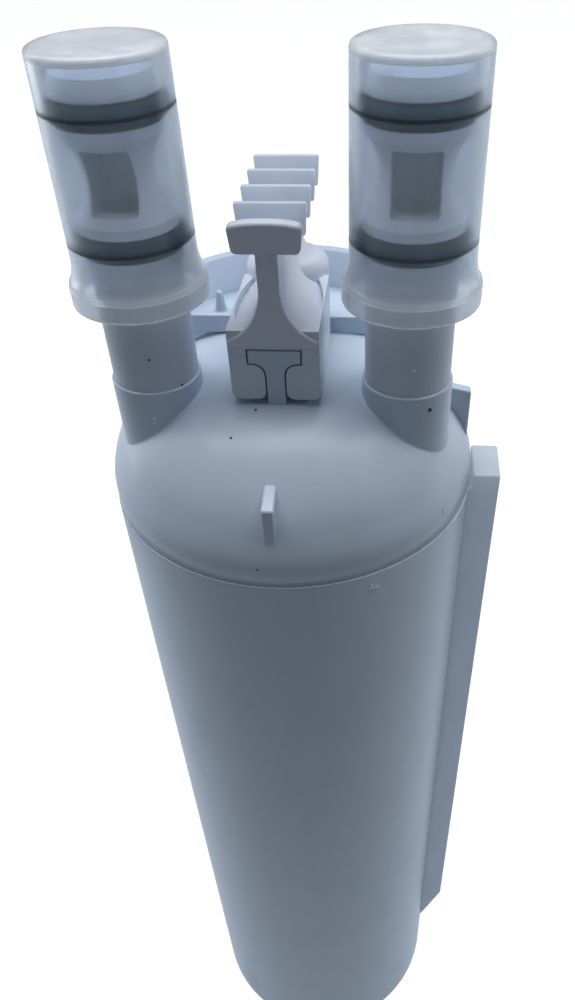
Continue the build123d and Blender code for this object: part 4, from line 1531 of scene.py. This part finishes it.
@dataclass
class Nozzle:
    """One nozzle with its two O-rings."""

    levels: Levels
    finishes: Finishes
    side: Side
    radius: float = 6.5
    spigot_radius: float = 5.5
    spigot_length: float = 5.5
    bore_radius: float = 3.3
    flange_radius: float = 6.95
    flange_thickness: float = 1.3
    lower_ring: float = 21.4
    upper_ring: float = 37.6
    groove_width: float = 3.2
    groove_root: float = 5.355
    waist_radius: float = 4.75
    lead_in: float = 0.7
    port_width: float = 6.3
    port_height: float = 8.2
    port_back: float = 1.1
    port_reach: float = 9.0
    port_corner: float = 0.5
    edge: float = 0.16
    ring_middle: float = 6.7
    ring_half_depth: float = 1.34
    ring_half_width: float = 1.31
    band_middle: float = 8.0
    band_half_depth: float = 0.072
    band_half_width: float = 0.24

    @property
    def centre(self) -> Point:
        """Where the nozzle stands."""
        return self.side.value * self.levels.nozzle_x, self.levels.nozzle_y

    def build(self) -> list[bpy.types.Object]:
        """Makes the nozzle and its O-rings."""
        return [self._tube(), self._rings()]

    def _groove(self, height: float) -> list[Point]:
        """Corners of a flange, a groove and the flange above it.

        Args:
            height: Middle of the groove.

        Returns:
            The corners from the lower flange up.
        """
        low, high = height - self.groove_width / 2, height + self.groove_width / 2
        return [
            (self.flange_radius, low - self.flange_thickness),
            (self.flange_radius, low),
            (self.groove_root, low),
            (self.groove_root, high),
            (self.flange_radius, high),
        ]

    def _tube(self) -> bpy.types.Object:
        """Spigot, tube, grooves and the waist with its side port.

        Returns:
            The finished nozzle.
        """
        base = self.levels.boss_top
        top = self.levels.nozzle_top
        half = self.groove_width / 2 + self.flange_thickness
        low, high = base + self.lower_ring + half, base + self.upper_ring - half
        middle = (low + high) / 2
        port_low, port_high = middle - self.port_height / 2, middle + self.port_height / 2
        ends = (self.flange_radius, low), (self.flange_radius, high)
        waist = circle_through(ends[0], (self.waist_radius, middle), ends[1], 36)
        outline = [
            (0, port_low + 1),
            (self.bore_radius, port_low + 1),
            (self.bore_radius, base - self.spigot_length),
            (self.spigot_radius, base - self.spigot_length),
            (self.spigot_radius, base),
            (self.radius, base),
            (self.radius, base + self.lower_ring - half),
            *self._groove(base + self.lower_ring),
            *waist,
            *self._groove(base + self.upper_ring)[1:],
            (self.flange_radius, top - 2 * self.lead_in),
            (self.flange_radius - self.lead_in, top),
            (0, top),
        ]
        made = lathe(f"{self.side.word}_nozzle_tube", outline, self.centre, SMALL_STEPS)
        x, y = self.centre
        half_port = self.port_width / 2
        back = y + self.waist_radius - self.port_back
        sides, depth = (x - half_port, x + half_port), (y - self.port_reach, back)
        port = soften(brick("port", sides, depth, (port_low, port_high)), self.port_corner)
        made = soften(combine(made, port, Joining.CUT), self.edge, segments=2, angle=40)
        nodes = (f"{self.side.word}_nozzle",)
        return finished(made, self.finishes.nozzle, Body.CARTRIDGE, Slot.NOZZLE, nodes)

    def _rings(self) -> bpy.types.Object:
        """Both O-rings, from one recipe that repeats a ring with its flattened band.

        Returns:
            The rings as one piece.
        """
        recipe = Recipe(f"{self.side.word}_rings")
        step = (0.0, 0.0, (self.upper_ring - self.lower_ring) * MM)
        lowest = (*(each * MM for each in self.centre), (self.levels.boss_top + self.lower_ring) * MM)
        pitch = recipe.given("Pitch", "Vector", step)
        first = recipe.given("First place", "Vector", lowest)
        count = recipe.given("Count", "Int", 2)
        rubber = recipe.given("Finish", "Material", self.finishes.rubber)
        joined = recipe.node("GeometryNodeJoinGeometry")
        for label, lengths in (
            ("Ring", (self.ring_middle, self.ring_half_depth, self.ring_half_width)),
            ("Pressed band", (self.band_middle, self.band_half_depth, self.band_half_width)),
        ):
            recipe.tree.links.new(self._hoop(recipe, label, lengths), joined.inputs[0])
        smooth = recipe.node("GeometryNodeSetShadeSmooth", None, {"Geometry": joined.outputs[0]})
        rings = recipe.repeat(smooth.outputs[0], count, first, pitch)
        made = recipe.run(f"{self.side.word}_seal_rings", rings, rubber)
        nodes = (f"{self.side.word}_upper_o_ring", f"{self.side.word}_lower_o_ring")
        return finished(made, self.finishes.rubber, Body.CARTRIDGE, Slot.RUBBER, nodes)

    def _hoop(self, recipe: Recipe, label: str, lengths: Place) -> bpy.types.NodeSocket:
        """A hoop with an oval section, as nodes of a recipe.

        Args:
            recipe: The recipe that it belongs to.
            label: First words of its inputs' names.
            lengths: Radius of its middle line, half depth and half width of its section.

        Returns:
            The hoop's geometry.
        """
        names = (f"{label} radius", f"{label} half depth", f"{label} half width")
        radius, depth, width = (
            recipe.given(name, "Float", length * MM) for name, length in zip(names, lengths)
        )
        circle = "GeometryNodeCurvePrimitiveCircle"
        path = recipe.node(circle, None, {"Resolution": SMALL_STEPS, "Radius": radius})
        section = recipe.node(circle, None, {"Resolution": 28, "Radius": 1.0})
        shape = recipe.node("ShaderNodeCombineXYZ", None, {0: depth, 1: width, 2: 1.0})
        inputs = {"Geometry": section.outputs[0], "Scale": shape.outputs[0]}
        flat = recipe.node("GeometryNodeTransform", None, inputs)
        inputs = {"Curve": path.outputs[0], "Profile Curve": flat.outputs[0]}
        return recipe.node("GeometryNodeCurveToMesh", None, inputs).outputs[0]


@dataclass
class ProtectiveCap:
    """One milky pull-off cap."""

    levels: Levels
    finishes: Finishes
    side: Side
    inner_radius: float = 8.085
    wall: float = 0.7
    roof: float = 0.8
    draft: float = 0.2
    edge: float = 0.6
    brim_radius: float = 9.85
    collar_height: float = 2.6
    step: float = 0.15
    ridge: float = 0.16
    flare_height: float = 4.0
    flare_out: float = 0.33
    flare_up: float = 0.45
    dish: float = 0.18
    dish_inset: float = 2.4
    dish_slope: float = 0.6
    roof_fillet: float = 0.4
    lip: float = 0.15
    ledge_drop: float = 0.05

    def build(self) -> list[bpy.types.Object]:
        """Makes the cap.

        Returns:
            The finished cap, as a list of one.
        """
        bottom, top = self.levels.cap_bottom, self.levels.cap_top
        outer = self.inner_radius + self.wall
        collar = bottom + self.collar_height
        flare = collar + self.flare_height
        step_r = self.brim_radius - self.step
        bend_x = outer + self.flare_out * (step_r - outer)
        bend_z = collar + self.flare_up * self.flare_height
        ledge = collar + 3 * self.ridge
        sleeve = [(step_r, collar), (step_r, ledge - self.ledge_drop)]
        sleeve += circle_through((step_r - self.ridge, ledge), (bend_x, bend_z), (outer, flare), 10)
        rim = outer - self.draft
        crown = arc((rim - self.edge, top - self.edge), self.edge, 0, 90, 6)
        dish_r = rim - self.dish_inset
        mouth = step_r - self.wall
        inner_bend = (bend_x - self.wall, bend_z)
        inside = circle_through((self.inner_radius, flare), inner_bend, (mouth, collar), 10)
        lip = self.lip
        outline = [
            (mouth, bottom + lip),
            (mouth + lip, bottom),
            *arc((self.brim_radius - lip, bottom + lip), lip, -90, 0, 3),
            *arc((self.brim_radius - lip, collar - lip), lip, 0, 90, 3),
            *sleeve,
            *crown,
            (dish_r + self.dish_slope, top),
            (dish_r, top - self.dish),
            (0, top - self.dish),
            (0, top - self.roof),
            (self.inner_radius - self.roof_fillet, top - self.roof),
            (self.inner_radius, top - self.roof - self.roof_fillet),
            *inside,
        ]
        name = f"{self.side.word}_protective_cap"
        centre = (self.side.value * self.levels.nozzle_x, self.levels.nozzle_y)
        made = even_shading(lathe(f"{name}_skin", outline, centre, CAP_STEPS))
        body = Body.LEFT_CAP if self.side is Side.LEFT else Body.RIGHT_CAP
        return [finished(made, self.finishes.cap, body, Slot.CLEAR, (name,))]


@dataclass
class KeyLock:
    """Key: slotted block, flared pylon, front bar and the comb behind it."""

    levels: Levels
    finishes: Finishes
    head: HeadCap
    front: float = -13.2
    proud: float = 0.4
    block_rear: float = 5.3
    tail_rear: float = 13.0
    dome_inset: float = 0.15
    dome_half_length: float = 5.6
    dome_top: float = 36.6
    dome_edge: float = 2.5
    half_width: float = 6.65
    block_edge: float = 0.14
    bottom: float = 22.4
    rim: float = 33.5
    tail_bottom: float = 25.0
    slot_gap: float = 0.22
    pad_radius: float = 1.2
    top: float = 48.6
    web_half: float = 1.5
    flare_radius: float = 8.0
    flare_top: float = 39.5
    scoop_half_length: float = 13.0
    scoop_rim: float = 0.2
    ear_depth: float = 1.05
    plate_half_width: float = 4.95
    plate_taper: float = 0.25
    plate_height: float = 4.0
    plate_corner: float = 0.25
    plate_pitch: float = 6.4
    plate_count: int = 4
    plate_thickness: float = 0.9
    plate_edge: float = 0.1
    bar_thickness: float = 1.9
    bar_proud: float = 0.3
    bar_corner: float = 0.8
    bar_crown: float = 0.35
    bar_turn: float = 78.0
    crown_shares: tuple[float, ...] = (0.6, 0.4, 0.2, 0.0)
    bar_edge: float = 0.55
    web_into_plates: float = 0.6
    overcut: float = 1.0

    def build(self) -> list[bpy.types.Object]:
        """Makes the key's block and pylon, its bar and its comb.

        Returns:
            The finished pieces.
        """
        looks = self.finishes
        made = [(self._block(), looks.key), (self._bar(), looks.key), (self._comb(), looks.comb)]
        return [
            finished(piece, look, Body.CARTRIDGE, Slot.KEY, ("key_lock",)) for piece, look in made
        ]

    def _level(self, above_seam: float) -> float:
        """Height above the floor of a height above the seam."""
        return self.levels.seam + above_seam

    def _plan(self, front: float) -> list[Point]:
        """Plan of the key: square at the front, an oval tail at the back.

        Args:
            front: Y of the square front.

        Returns:
            The closed outline as X and Y.
        """
        tail = self.tail_rear - self.block_rear
        oval = [
            (self.half_width * math.cos(t), self.block_rear + tail * math.sin(t))
            for t in (math.radians(angle) for angle in range(0, 181, 5))
        ]
        return [(-self.half_width, front), (self.half_width, front), *oval]

    def _pylon_section(self) -> list[Point]:
        """Section of the pylon: a web that flares to a wide foot.

        Returns:
            The closed outline as X and Z.
        """
        centre_x = self.web_half + self.flare_radius
        flare_z = self._level(self.flare_top)
        last = math.degrees(math.acos((centre_x - self.half_width) / self.flare_radius))
        flare = arc((centre_x, flare_z), self.flare_radius, 180, 180 + last, 20)
        top = self._level(self.top) - self.plate_height + self.web_into_plates
        foot = self._level(self.head.tee_top) + 2 * self.slot_gap
        return mirrored([(self.web_half, top), *flare, (self.half_width, foot)])

    def _slot(self) -> list[Point]:
        """Section of the slot: the T with its gap, and a rounded mouth between the pads.

        Returns:
            The closed outline as X and Z.
        """
        bottom, bend = self._level(self.bottom), self.pad_radius
        tee = self.head.tee_outline(self.slot_gap, bottom + bend)
        stem = tee[0][0]
        mouth = arc((stem + bend, bottom + bend), bend, 270, 180, 6)[:-1]
        return mirrored([(stem + bend, bottom - 3 * self.overcut), *mouth, *tee[: len(tee) // 2]])

    def _block(self) -> bpy.types.Object:
        """Slotted block, scooped ears, pylon and tail as one solid.

        Returns:
            The block.
        """
        bottom, rim = self._level(self.bottom), self._level(self.rim)
        half, pad = self.half_width, self.pad_radius
        section = mirrored([*arc((half - pad, bottom + pad), pad, -90, 0, 6), (half, rim)])
        block = prism("key_block", section, Axis.Y, self.front, self.block_rear)
        for side in (-1, 1):
            block = combine(block, self._scoop(side), Joining.CUT)
        front = self.front - self.proud
        pylon = bullnosed("pylon", self._pylon_section(), front, self.tail_rear, self.proud)
        plan = self._plan(front - self.overcut)
        plan = prism("plan", plan, Axis.Z, bottom, self._level(self.top))
        block = combine(block, combine(pylon, plan, Joining.COMMON), Joining.ADD)
        tail_top = self._level(self.head.tee_top) + 3 * self.slot_gap
        tail = prism("tail", self._plan(self.front), Axis.Z, self._level(self.tail_bottom), tail_top)
        block = combine(block, tail, Joining.ADD)
        block = combine(block, self._end_dome(), Joining.ADD)
        slot_end = self.head.tee_rear + self.slot_gap
        slot = prism("slot", self._slot(), Axis.Y, front - self.overcut, slot_end)
        return soften(combine(block, slot, Joining.CUT), self.block_edge, segments=2, angle=34)

    def _end_dome(self) -> bpy.types.Object:
        """The rounded end behind the scoops: an oval lathe with a soft edge.

        Returns:
            The solid that joins the block.
        """
        half_width, half_length = self.half_width - self.dome_inset, self.dome_half_length
        top, edge = self._level(self.dome_top), self.dome_edge
        steps = 16
        work = bmesh.new()
        levels = [(0.0, self._level(self.tail_bottom))]
        levels += [
            (edge * (1 - math.cos(t)), top - edge + edge * math.sin(t))
            for t in (math.pi / 2 * step / steps for step in range(steps + 1))
        ]
        rings = []
        for inset, height in levels:
            rings.append([
                work.verts.new((
                    (half_width - inset) * math.cos(t) * MM,
                    (self.tail_rear - half_length + (half_length - inset) * math.sin(t)) * MM,
                    height * MM,
                ))
                for t in (math.radians(angle) for angle in range(0, 360, 4))
            ])
        for low, high in zip(rings, rings[1:]):
            for index, corner in enumerate(low):
                after = (index + 1) % len(low)
                work.faces.new([corner, low[after], high[after], high[index]])
        work.faces.new(list(reversed(rings[0])))
        work.faces.new(rings[-1])
        return from_bmesh("end_dome", work)

    def _scoop(self, side: int) -> bpy.types.Object:
        """The oval hollow on one side of the pylon.

        Args:
            side: -1 for the left one and 1 for the right one.

        Returns:
            The solid that is cut away.
        """
        centre_x = side * (self.web_half + self.flare_radius)
        middle = (self.front + self.block_rear) / 2
        length = self.scoop_half_length
        width = self.half_width - self.scoop_rim
        round_bar = arc((centre_x, self._level(self.flare_top)), self.flare_radius, 0, 360, 72)[:-1]
        bar = prism("scoop", round_bar, Axis.Y, middle - 2 * length, middle + 2 * length)
        turns = [math.radians(angle) for angle in range(0, 360, 5)]
        oval = [(width * math.cos(t), middle + length * math.sin(t)) for t in turns]
        heights = (self._level(self.bottom), self._level(self.top))
        limit = prism("oval", oval, Axis.Z, *heights)
        clear = (self.front + self.ear_depth, self.block_rear - self.ear_depth)
        between = brick("between_ears", (-width, width), clear, heights)
        return combine(combine(bar, limit, Joining.COMMON), between, Joining.COMMON)

    def _bar(self) -> bpy.types.Object:
        """The thick front bar with its crowned top and narrower foot.

        Returns:
            The bar.
        """
        half, radius = self.plate_half_width, self.bar_corner
        foot = half - self.plate_taper
        low, high = self._level(self.top) - self.plate_height, self._level(self.top)
        right = arc((foot - radius, low + radius), radius, -90, 0, 6)
        right += arc((half - radius, high - radius), radius, 0, self.bar_turn, 6)
        right += [
            (half * share, high + self.bar_crown * (1 - share ** 2)) for share in self.crown_shares
        ]
        front = self.front - self.proud - self.bar_proud
        made = prism("key_front_bar", mirrored(right), Axis.Y, front, front + self.bar_thickness)
        return soften(made, self.bar_edge, segments=5, angle=50)

    def _plate(self) -> bpy.types.Object:
        """One thin plate with nearly square corners, at the bar's place.

        Returns:
            The plate, which the comb repeats.
        """
        half = self.plate_half_width
        foot = half - self.plate_taper
        low, high = self._level(self.top) - self.plate_height, self._level(self.top) + self.bar_crown
        radius = self.plate_corner
        right = arc((foot - radius, low + radius), radius, -90, 0, 3)
        right += arc((half - radius, high - radius), radius, 0, 90, 3)
        first = self.front - self.proud
        made = prism("key_plate", mirrored(right), Axis.Y, first, first + self.plate_thickness)
        return soften(made, self.plate_edge, segments=2, angle=50)

    def _comb(self) -> bpy.types.Object:
        """The plates behind the bar, from one recipe that repeats a plate.

        Returns:
            The plates as one piece.
        """
        plate = self._plate()
        recipe = Recipe("comb")
        source = recipe.given("Plate", "Object", plate)
        count = recipe.given("Count", "Int", self.plate_count)
        step = (0.0, self.plate_pitch * MM, 0.0)
        start = recipe.given("First place", "Vector", step)
        pitch = recipe.given("Pitch", "Vector", step)
        finish = recipe.given("Finish", "Material", self.finishes.comb)
        shape = recipe.node("GeometryNodeObjectInfo", None, {"Object": source})
        plates = recipe.repeat(shape.outputs["Geometry"], count, start, pitch)
        made = recipe.run("key_comb", plates, finish)
        bpy.data.objects.remove(plate)
        return made


@dataclass
class FilterElement:
    """The sealed inner pieces, which keep the frame's shapes."""

    finishes: Finishes

    def build(self) -> list[bpy.types.Object]:
        """Dresses the frame's inner nodes.

        Returns:
            The dressed nodes.
        """
        wanted = {
            "carbon_block": (self.finishes.carbon, Slot.CARBON),
            "inner_core": (self.finishes.core, Slot.CORE),
            "prefilter_wrap": (self.finishes.felt, Slot.FELT),
            "outer_netting": (self.finishes.net, Slot.NET),
            "upper_end_cap": (self.finishes.end_cap, Slot.END_CAP),
            "lower_end_cap": (self.finishes.end_cap, Slot.END_CAP),
            "flow_manifold": (self.finishes.end_cap, Slot.END_CAP),
            "neck_o_ring": (self.finishes.rubber, Slot.RUBBER),
            "outlet_o_ring": (self.finishes.rubber, Slot.RUBBER),
        }
        made = []
        for name, (material, slot) in wanted.items():
            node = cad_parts[name]
            node.data.materials.clear()
            node.data.materials.append(material)
            made.append(node)
        log.info("dressed %d inner nodes", len(made))
        return made


# Camera, marks and studio


@dataclass(frozen=True)
class PhotographView:
    """The camera that saw the cartridge, in millimetres, degrees and pixels.

    Its clip distances are in metres.
    """

    place: Place = (17.69, -119.8, 281.9)
    heading: float = -5.53
    pitch: float = 43.15
    roll: float = -1.81
    focal: float = 832.3
    middle: Point = (331.1, 560.9)
    image: Point = (575.0, 1000.0)
    sensor: float = 36.0
    clip: Point = (0.01, 20.0)

    def axes(self) -> tuple[Vector, Vector, Vector]:
        """Right, up and forward directions.

        Returns:
            Three directions of length 1.
        """
        heading, pitch, roll = (math.radians(a) for a in (self.heading, self.pitch, self.roll))
        forward = Vector(
            (math.sin(heading) * math.cos(pitch), math.cos(heading) * math.cos(pitch), -math.sin(pitch))
        )
        level = Vector((math.cos(heading), -math.sin(heading), 0))
        above = level.cross(forward)
        right = level * math.cos(roll) + above * math.sin(roll)
        return right, right.cross(forward), forward

    def ray(self, pixel: Point) -> tuple[Vector, Vector]:
        """The line of sight through a pixel.

        Args:
            pixel: Across and down from the top left corner.

        Returns:
            The camera's place in metres and the direction.
        """
        right, up, forward = self.axes()
        across = (pixel[0] - self.middle[0]) / self.focal
        down = (pixel[1] - self.middle[1]) / self.focal
        return Vector(self.place) * MM, (forward + right * across - up * down).normalized()

    def camera(self) -> bpy.types.Object:
        """Makes the scene's camera.

        Returns:
            The camera.
        """
        right, up, forward = self.axes()
        data = bpy.data.cameras.new("photograph_view")
        longest = max(self.image)
        data.sensor_width = self.sensor
        data.lens = self.focal * self.sensor / longest
        data.shift_x = (self.image[0] / 2 - self.middle[0]) / longest
        data.shift_y = (self.middle[1] - self.image[1] / 2) / longest
        data.clip_start, data.clip_end = self.clip
        made = bpy.data.objects.new("photograph_view", data)
        turn = Matrix((right, up, -forward)).transposed().to_4x4()
        made.matrix_world = Matrix.Translation(Vector(self.place) * MM) @ turn
        bpy.context.scene.collection.objects.link(made)
        bpy.context.scene.camera = made
        return made


@dataclass
class Wear:
    """Flecks of dust and rubbed strokes on the outside, where the photograph shows them."""

    finishes: Finishes
    view: PhotographView
    ground: list[bpy.types.Object]
    dark: tuple[Place, ...] = (
        (255.7, 410.0, 0.24),
        (231.0, 438.0, 0.22),
        (430.0, 410.0, 0.36),
        (257.0, 570.0, 0.17),
        (149.0, 360.0, 0.2),
        (182.0, 385.0, 0.2),
    )
    pale: tuple[Place, ...] = (
        (309.4, 402.3, 0.42),
        (154.3, 419.0, 0.24),
        (154.6, 423.5, 0.24),
        (414.0, 371.0, 0.22),
    )
    strokes: tuple[tuple[Point, Point, float], ...] = (
        ((368.0, 592.0), (372.5, 583.5), 0.34),
        ((371.0, 593.5), (376.5, 584.0), 0.3),
        ((375.0, 592.0), (379.0, 586.0), 0.3),
        ((370.0, 588.5), (378.0, 587.0), 0.26),
        ((443.0, 508.0), (443.6, 514.0), 0.22),
    )
    stroke_steps: int = 6
    end_width: float = 0.35
    crest_width: float = 0.6
    proud: float = 0.08
    grain_spread: Point = (0.75, 1.2)
    grain_flatness: float = 0.45
    seed: int = 11
    dust_seed: int = 5
    dust_size: float = 0.07
    dust_scales: tuple[Place, Place] = ((0.4, 0.4, 0.2), (1.2, 1.2, 0.4))
    dust_per_square_metre: float = 9000.0
    dust_lowest_normal: float = 0.35
    tree: BVHTree = field(init=False)

    def build(self) -> list[bpy.types.Object]:
        """Makes the dark and pale flecks, the strokes and the fine dust.

        Returns:
            The finished marks.
        """
        self.tree = self._ground_tree()
        looks = self.finishes
        made = [
            (self._flecks("dark_flecks", self.dark), looks.dark_mark),
            (self._flecks("pale_flecks", self.pale), looks.pale_mark),
            (self._strokes(), looks.pale_mark),
            (self._dust(), looks.dark_mark),
        ]
        return [
            finished(piece, look, Body.CARTRIDGE, Slot.WHITE, ("head_cap",)) for piece, look in made
        ]

    def _ground_tree(self) -> BVHTree:
        """Search tree over the outside pieces.

        Returns:
            The tree.
        """
        corners: list[Vector] = []
        faces: list[list[int]] = []
        for piece in self.ground:
            start = len(corners)
            corners += [vertex.co.copy() for vertex in piece.data.vertices]
            faces += [[start + index for index in face.vertices] for face in piece.data.polygons]
        return BVHTree.FromPolygons(corners, faces)

    def _hit(self, pixel: Point) -> tuple[Vector, Vector]:
        """The surface behind a pixel.

        Args:
            pixel: Across and down from the top left corner.

        Returns:
            The point and its outward normal.
        """
        origin, direction = self.view.ray(pixel)
        place, normal, _, _ = self.tree.ray_cast(origin, direction)
        return place, normal if normal.dot(direction) < 0 else -normal

    def _flecks(self, name: str, flecks: tuple[Place, ...]) -> bpy.types.Object:
        """Flat uneven grains that sit in the surface.

        Args:
            name: Name of the piece.
            flecks: Pixel and radius in millimetres of each.

        Returns:
            The new object.
        """
        chance = random.Random(self.seed)
        work = bmesh.new()
        for across, down, radius in flecks:
            place, normal = self._hit((across, down))
            turn = normal.to_track_quat("Z", "Y").to_matrix()
            grain = bmesh.ops.create_icosphere(work, subdivisions=2, radius=1.0)["verts"]
            for corner in grain:
                size = radius * chance.uniform(*self.grain_spread) * MM
                x, y, z = corner.co * size
                corner.co = place + turn @ Vector((x, y, z * self.grain_flatness))
        return from_bmesh(name, work)

    def _strokes(self) -> bpy.types.Object:
        """Fine rubbed lines that follow the surface.

        Returns:
            The strokes as one piece.
        """
        work = bmesh.new()
        shares = [step / self.stroke_steps for step in range(self.stroke_steps + 1)]
        for first, last, width in self.strokes:
            start, run = Vector(first), Vector(last) - Vector(first)
            hits = [self._hit(tuple(start + run * share)) for share in shares]
            along = (hits[-1][0] - hits[0][0]).normalized()
            rows = []
            for share, (place, normal) in zip(shares, hits):
                swell = self.end_width + (1 - self.end_width) * math.sin(math.pi * share)
                across = normal.cross(along).normalized() * width / 2 * MM * swell
                out = normal * self.proud * MM
                root, crest = place - 3 * out, place + out
                rim = across * self.crest_width
                corners = (root + across, root - across, crest - rim, crest + rim)
                rows.append([work.verts.new(corner) for corner in corners])
            for row, after in zip(rows, rows[1:]):
                for index in range(4):
                    side = (index + 1) % 4
                    work.faces.new([row[index], row[side], after[side], after[index]])
            work.faces.new(list(reversed(rows[0])))
            work.faces.new(rows[-1])
        return from_bmesh("rubbed_strokes", work)

    def _dust(self) -> bpy.types.Object:
        """Fine dust scattered over the upper dome by one recipe.

        Returns:
            The grains as one piece.
        """
        recipe = Recipe("dust")
        dome = recipe.given("Dome", "Object", self.ground[0])
        density = recipe.given("Density", "Float", self.dust_per_square_metre)
        seed = recipe.given("Seed", "Int", self.dust_seed)
        radius = recipe.given("Grain radius", "Float", self.dust_size * MM)
        steepest = recipe.given("Lowest normal Z", "Float", self.dust_lowest_normal)
        finish = recipe.given("Finish", "Material", self.finishes.dark_mark)
        shape = recipe.node("GeometryNodeObjectInfo", None, {"Object": dome})
        facing = recipe.node("GeometryNodeInputNormal").outputs[0]
        normal = recipe.node("ShaderNodeSeparateXYZ", None, {0: facing})
        greater = {"data_type": "FLOAT", "operation": "GREATER_THAN"}
        upward = recipe.node("FunctionNodeCompare", greater, {0: normal.outputs[2], 1: steepest})
        inputs = {
            "Mesh": shape.outputs["Geometry"],
            "Selection": upward.outputs[0],
            "Density": density,
            "Seed": seed,
        }
        scatter = {"distribute_method": "RANDOM"}
        points = recipe.node("GeometryNodeDistributePointsOnFaces", scatter, inputs)
        grain = recipe.node("GeometryNodeMeshIcoSphere", None, {"Radius": radius, "Subdivisions": 1})
        inputs = {0: self.dust_scales[0], 1: self.dust_scales[1], "Seed": seed}
        size = recipe.node("FunctionNodeRandomValue", {"data_type": "FLOAT_VECTOR"}, inputs)
        inputs = {
            "Points": points.outputs["Points"],
            "Instance": grain.outputs["Mesh"],
            "Rotation": points.outputs["Rotation"],
            "Scale": size.outputs[0],
        }
        grains = recipe.node("GeometryNodeInstanceOnPoints", None, inputs)
        return recipe.run("fine_dust", grains.outputs[0], finish)


@dataclass(frozen=True)
class Lamp:
    """A soft rectangular lamp, in metres and watts."""

    name: str
    place: Place
    target: Place
    size: Point
    power: float

    def hang(self) -> None:
        """Adds the lamp to the scene, turned to its target."""
        data = bpy.data.lights.new(self.name, "AREA")
        data.shape = "RECTANGLE"
        data.size, data.size_y = self.size
        data.energy = self.power
        made = bpy.data.objects.new(self.name, data)
        made.location = self.place
        made.rotation_mode = "QUATERNION"
        aim = Vector(self.target) - Vector(self.place)
        made.rotation_quaternion = aim.to_track_quat("-Z", "Y")
        bpy.context.scene.collection.objects.link(made)


@dataclass
class Studio:
    """Floor, world and soft lamps."""

    lamps: tuple[Lamp, ...] = (
        Lamp("overhead", (0.0, 0.12, 1.0), (0.0, 0.0, 0.2), (1.3, 0.45), 8.6),
        Lamp("left_window", (-0.95, 0.42, 0.4), (0.0, 0.0, 0.12), (0.5, 1.0), 2.9),
        Lamp("right_window", (0.9, 0.42, 0.4), (0.0, 0.0, 0.12), (0.6, 1.0), 2.3),
    )
    floor_half: float = 6.0
    floor_colours: tuple[Colour, Colour] = ((0.17, 0.175, 0.18), (0.195, 0.2, 0.205))
    floor_tooth: float = 1.2
    floor_white: float = 0.95
    mirrored_white: Colour = (0.68, 0.8, 0.95)
    air_colour: tuple[float, ...] = (0.82, 0.9, 1.0, 1.0)
    air_strength: float = 0.15

    def build(self) -> None:
        """Makes the stage and the light."""
        self._floor()
        self._world()
        for lamp in self.lamps:
            lamp.hang()
        bpy.context.scene.view_settings.view_transform = "Standard"

    def _floor(self) -> None:
        """A pale floor that keeps the cartridge's shadow."""
        half = self.floor_half
        work = bmesh.new()
        corners = [(-half, -half), (half, -half), (half, half), (-half, half)]
        work.faces.new([work.verts.new((x, y, 0)) for x, y in corners])
        made = from_bmesh("floor", work)
        graph = Graph.named("floor_paper")
        reflected = graph.ray(Ray.GLOSSY)
        seen = graph.ray(Ray.CAMERA).larger(reflected).larger(graph.ray(Ray.TRANSMISSION))
        paper = {"Color": graph.blend(graph.noise(self.floor_tooth, 2.0), *self.floor_colours)}
        paper = graph.node("ShaderNodeBsdfDiffuse", None, paper).outputs[0]
        white = {
            "Color": graph.blend(reflected, (1.0, 1.0, 1.0), self.mirrored_white),
            "Strength": seen * self.floor_white,
        }
        glow = graph.node("ShaderNodeEmission", None, white).outputs[0]
        both = graph.node("ShaderNodeAddShader", None, {0: paper, 1: glow}).outputs[0]
        made.data.materials.append(graph.finish(both))

    def _world(self) -> None:
        """A world that is white to the eye and dim to the object."""
        world = bpy.data.worlds.new("studio_air")
        bpy.context.scene.world = world
        graph = Graph(world)
        seen = graph.ray(Ray.CAMERA).larger(graph.ray(Ray.TRANSMISSION))
        dim = {"Color": self.air_colour, "Strength": self.air_strength}
        white = {"Color": (1.0, 1.0, 1.0, 1.0)}
        dim, white = (graph.node("ShaderNodeBackground", None, each).outputs[0] for each in (dim, white))
        graph.finish(graph.mix(seen, dim, white))


def main() -> None:
    """Builds the cartridge, its camera and its studio."""
    logging.basicConfig(level=logging.INFO, format="%(name)s: %(message)s")
    levels = Levels.from_frame()
    finishes = Finishes()
    dome = Dome(levels.seam)
    head = HeadCap(levels, finishes, dome)
    builders = [BodyShell(levels, finishes), head, KeyLock(levels, finishes, head)]
    for side in Side:
        builders += [Nozzle(levels, finishes, side), ProtectiveCap(levels, finishes, side)]
    builders.append(FilterElement(finishes))
    outside = []
    for builder in builders:
        made = builder.build()
        log.info("%s gave %d pieces", type(builder).__name__, len(made))
        if isinstance(builder, (HeadCap, BodyShell, Nozzle)):
            outside += made
    view = PhotographView()
    outside.sort(key=lambda piece: piece.name != "head_dome")
    Wear(finishes, view, outside).build()
    view.camera()
    Studio().build()


if __name__ == "__main__":
    main()
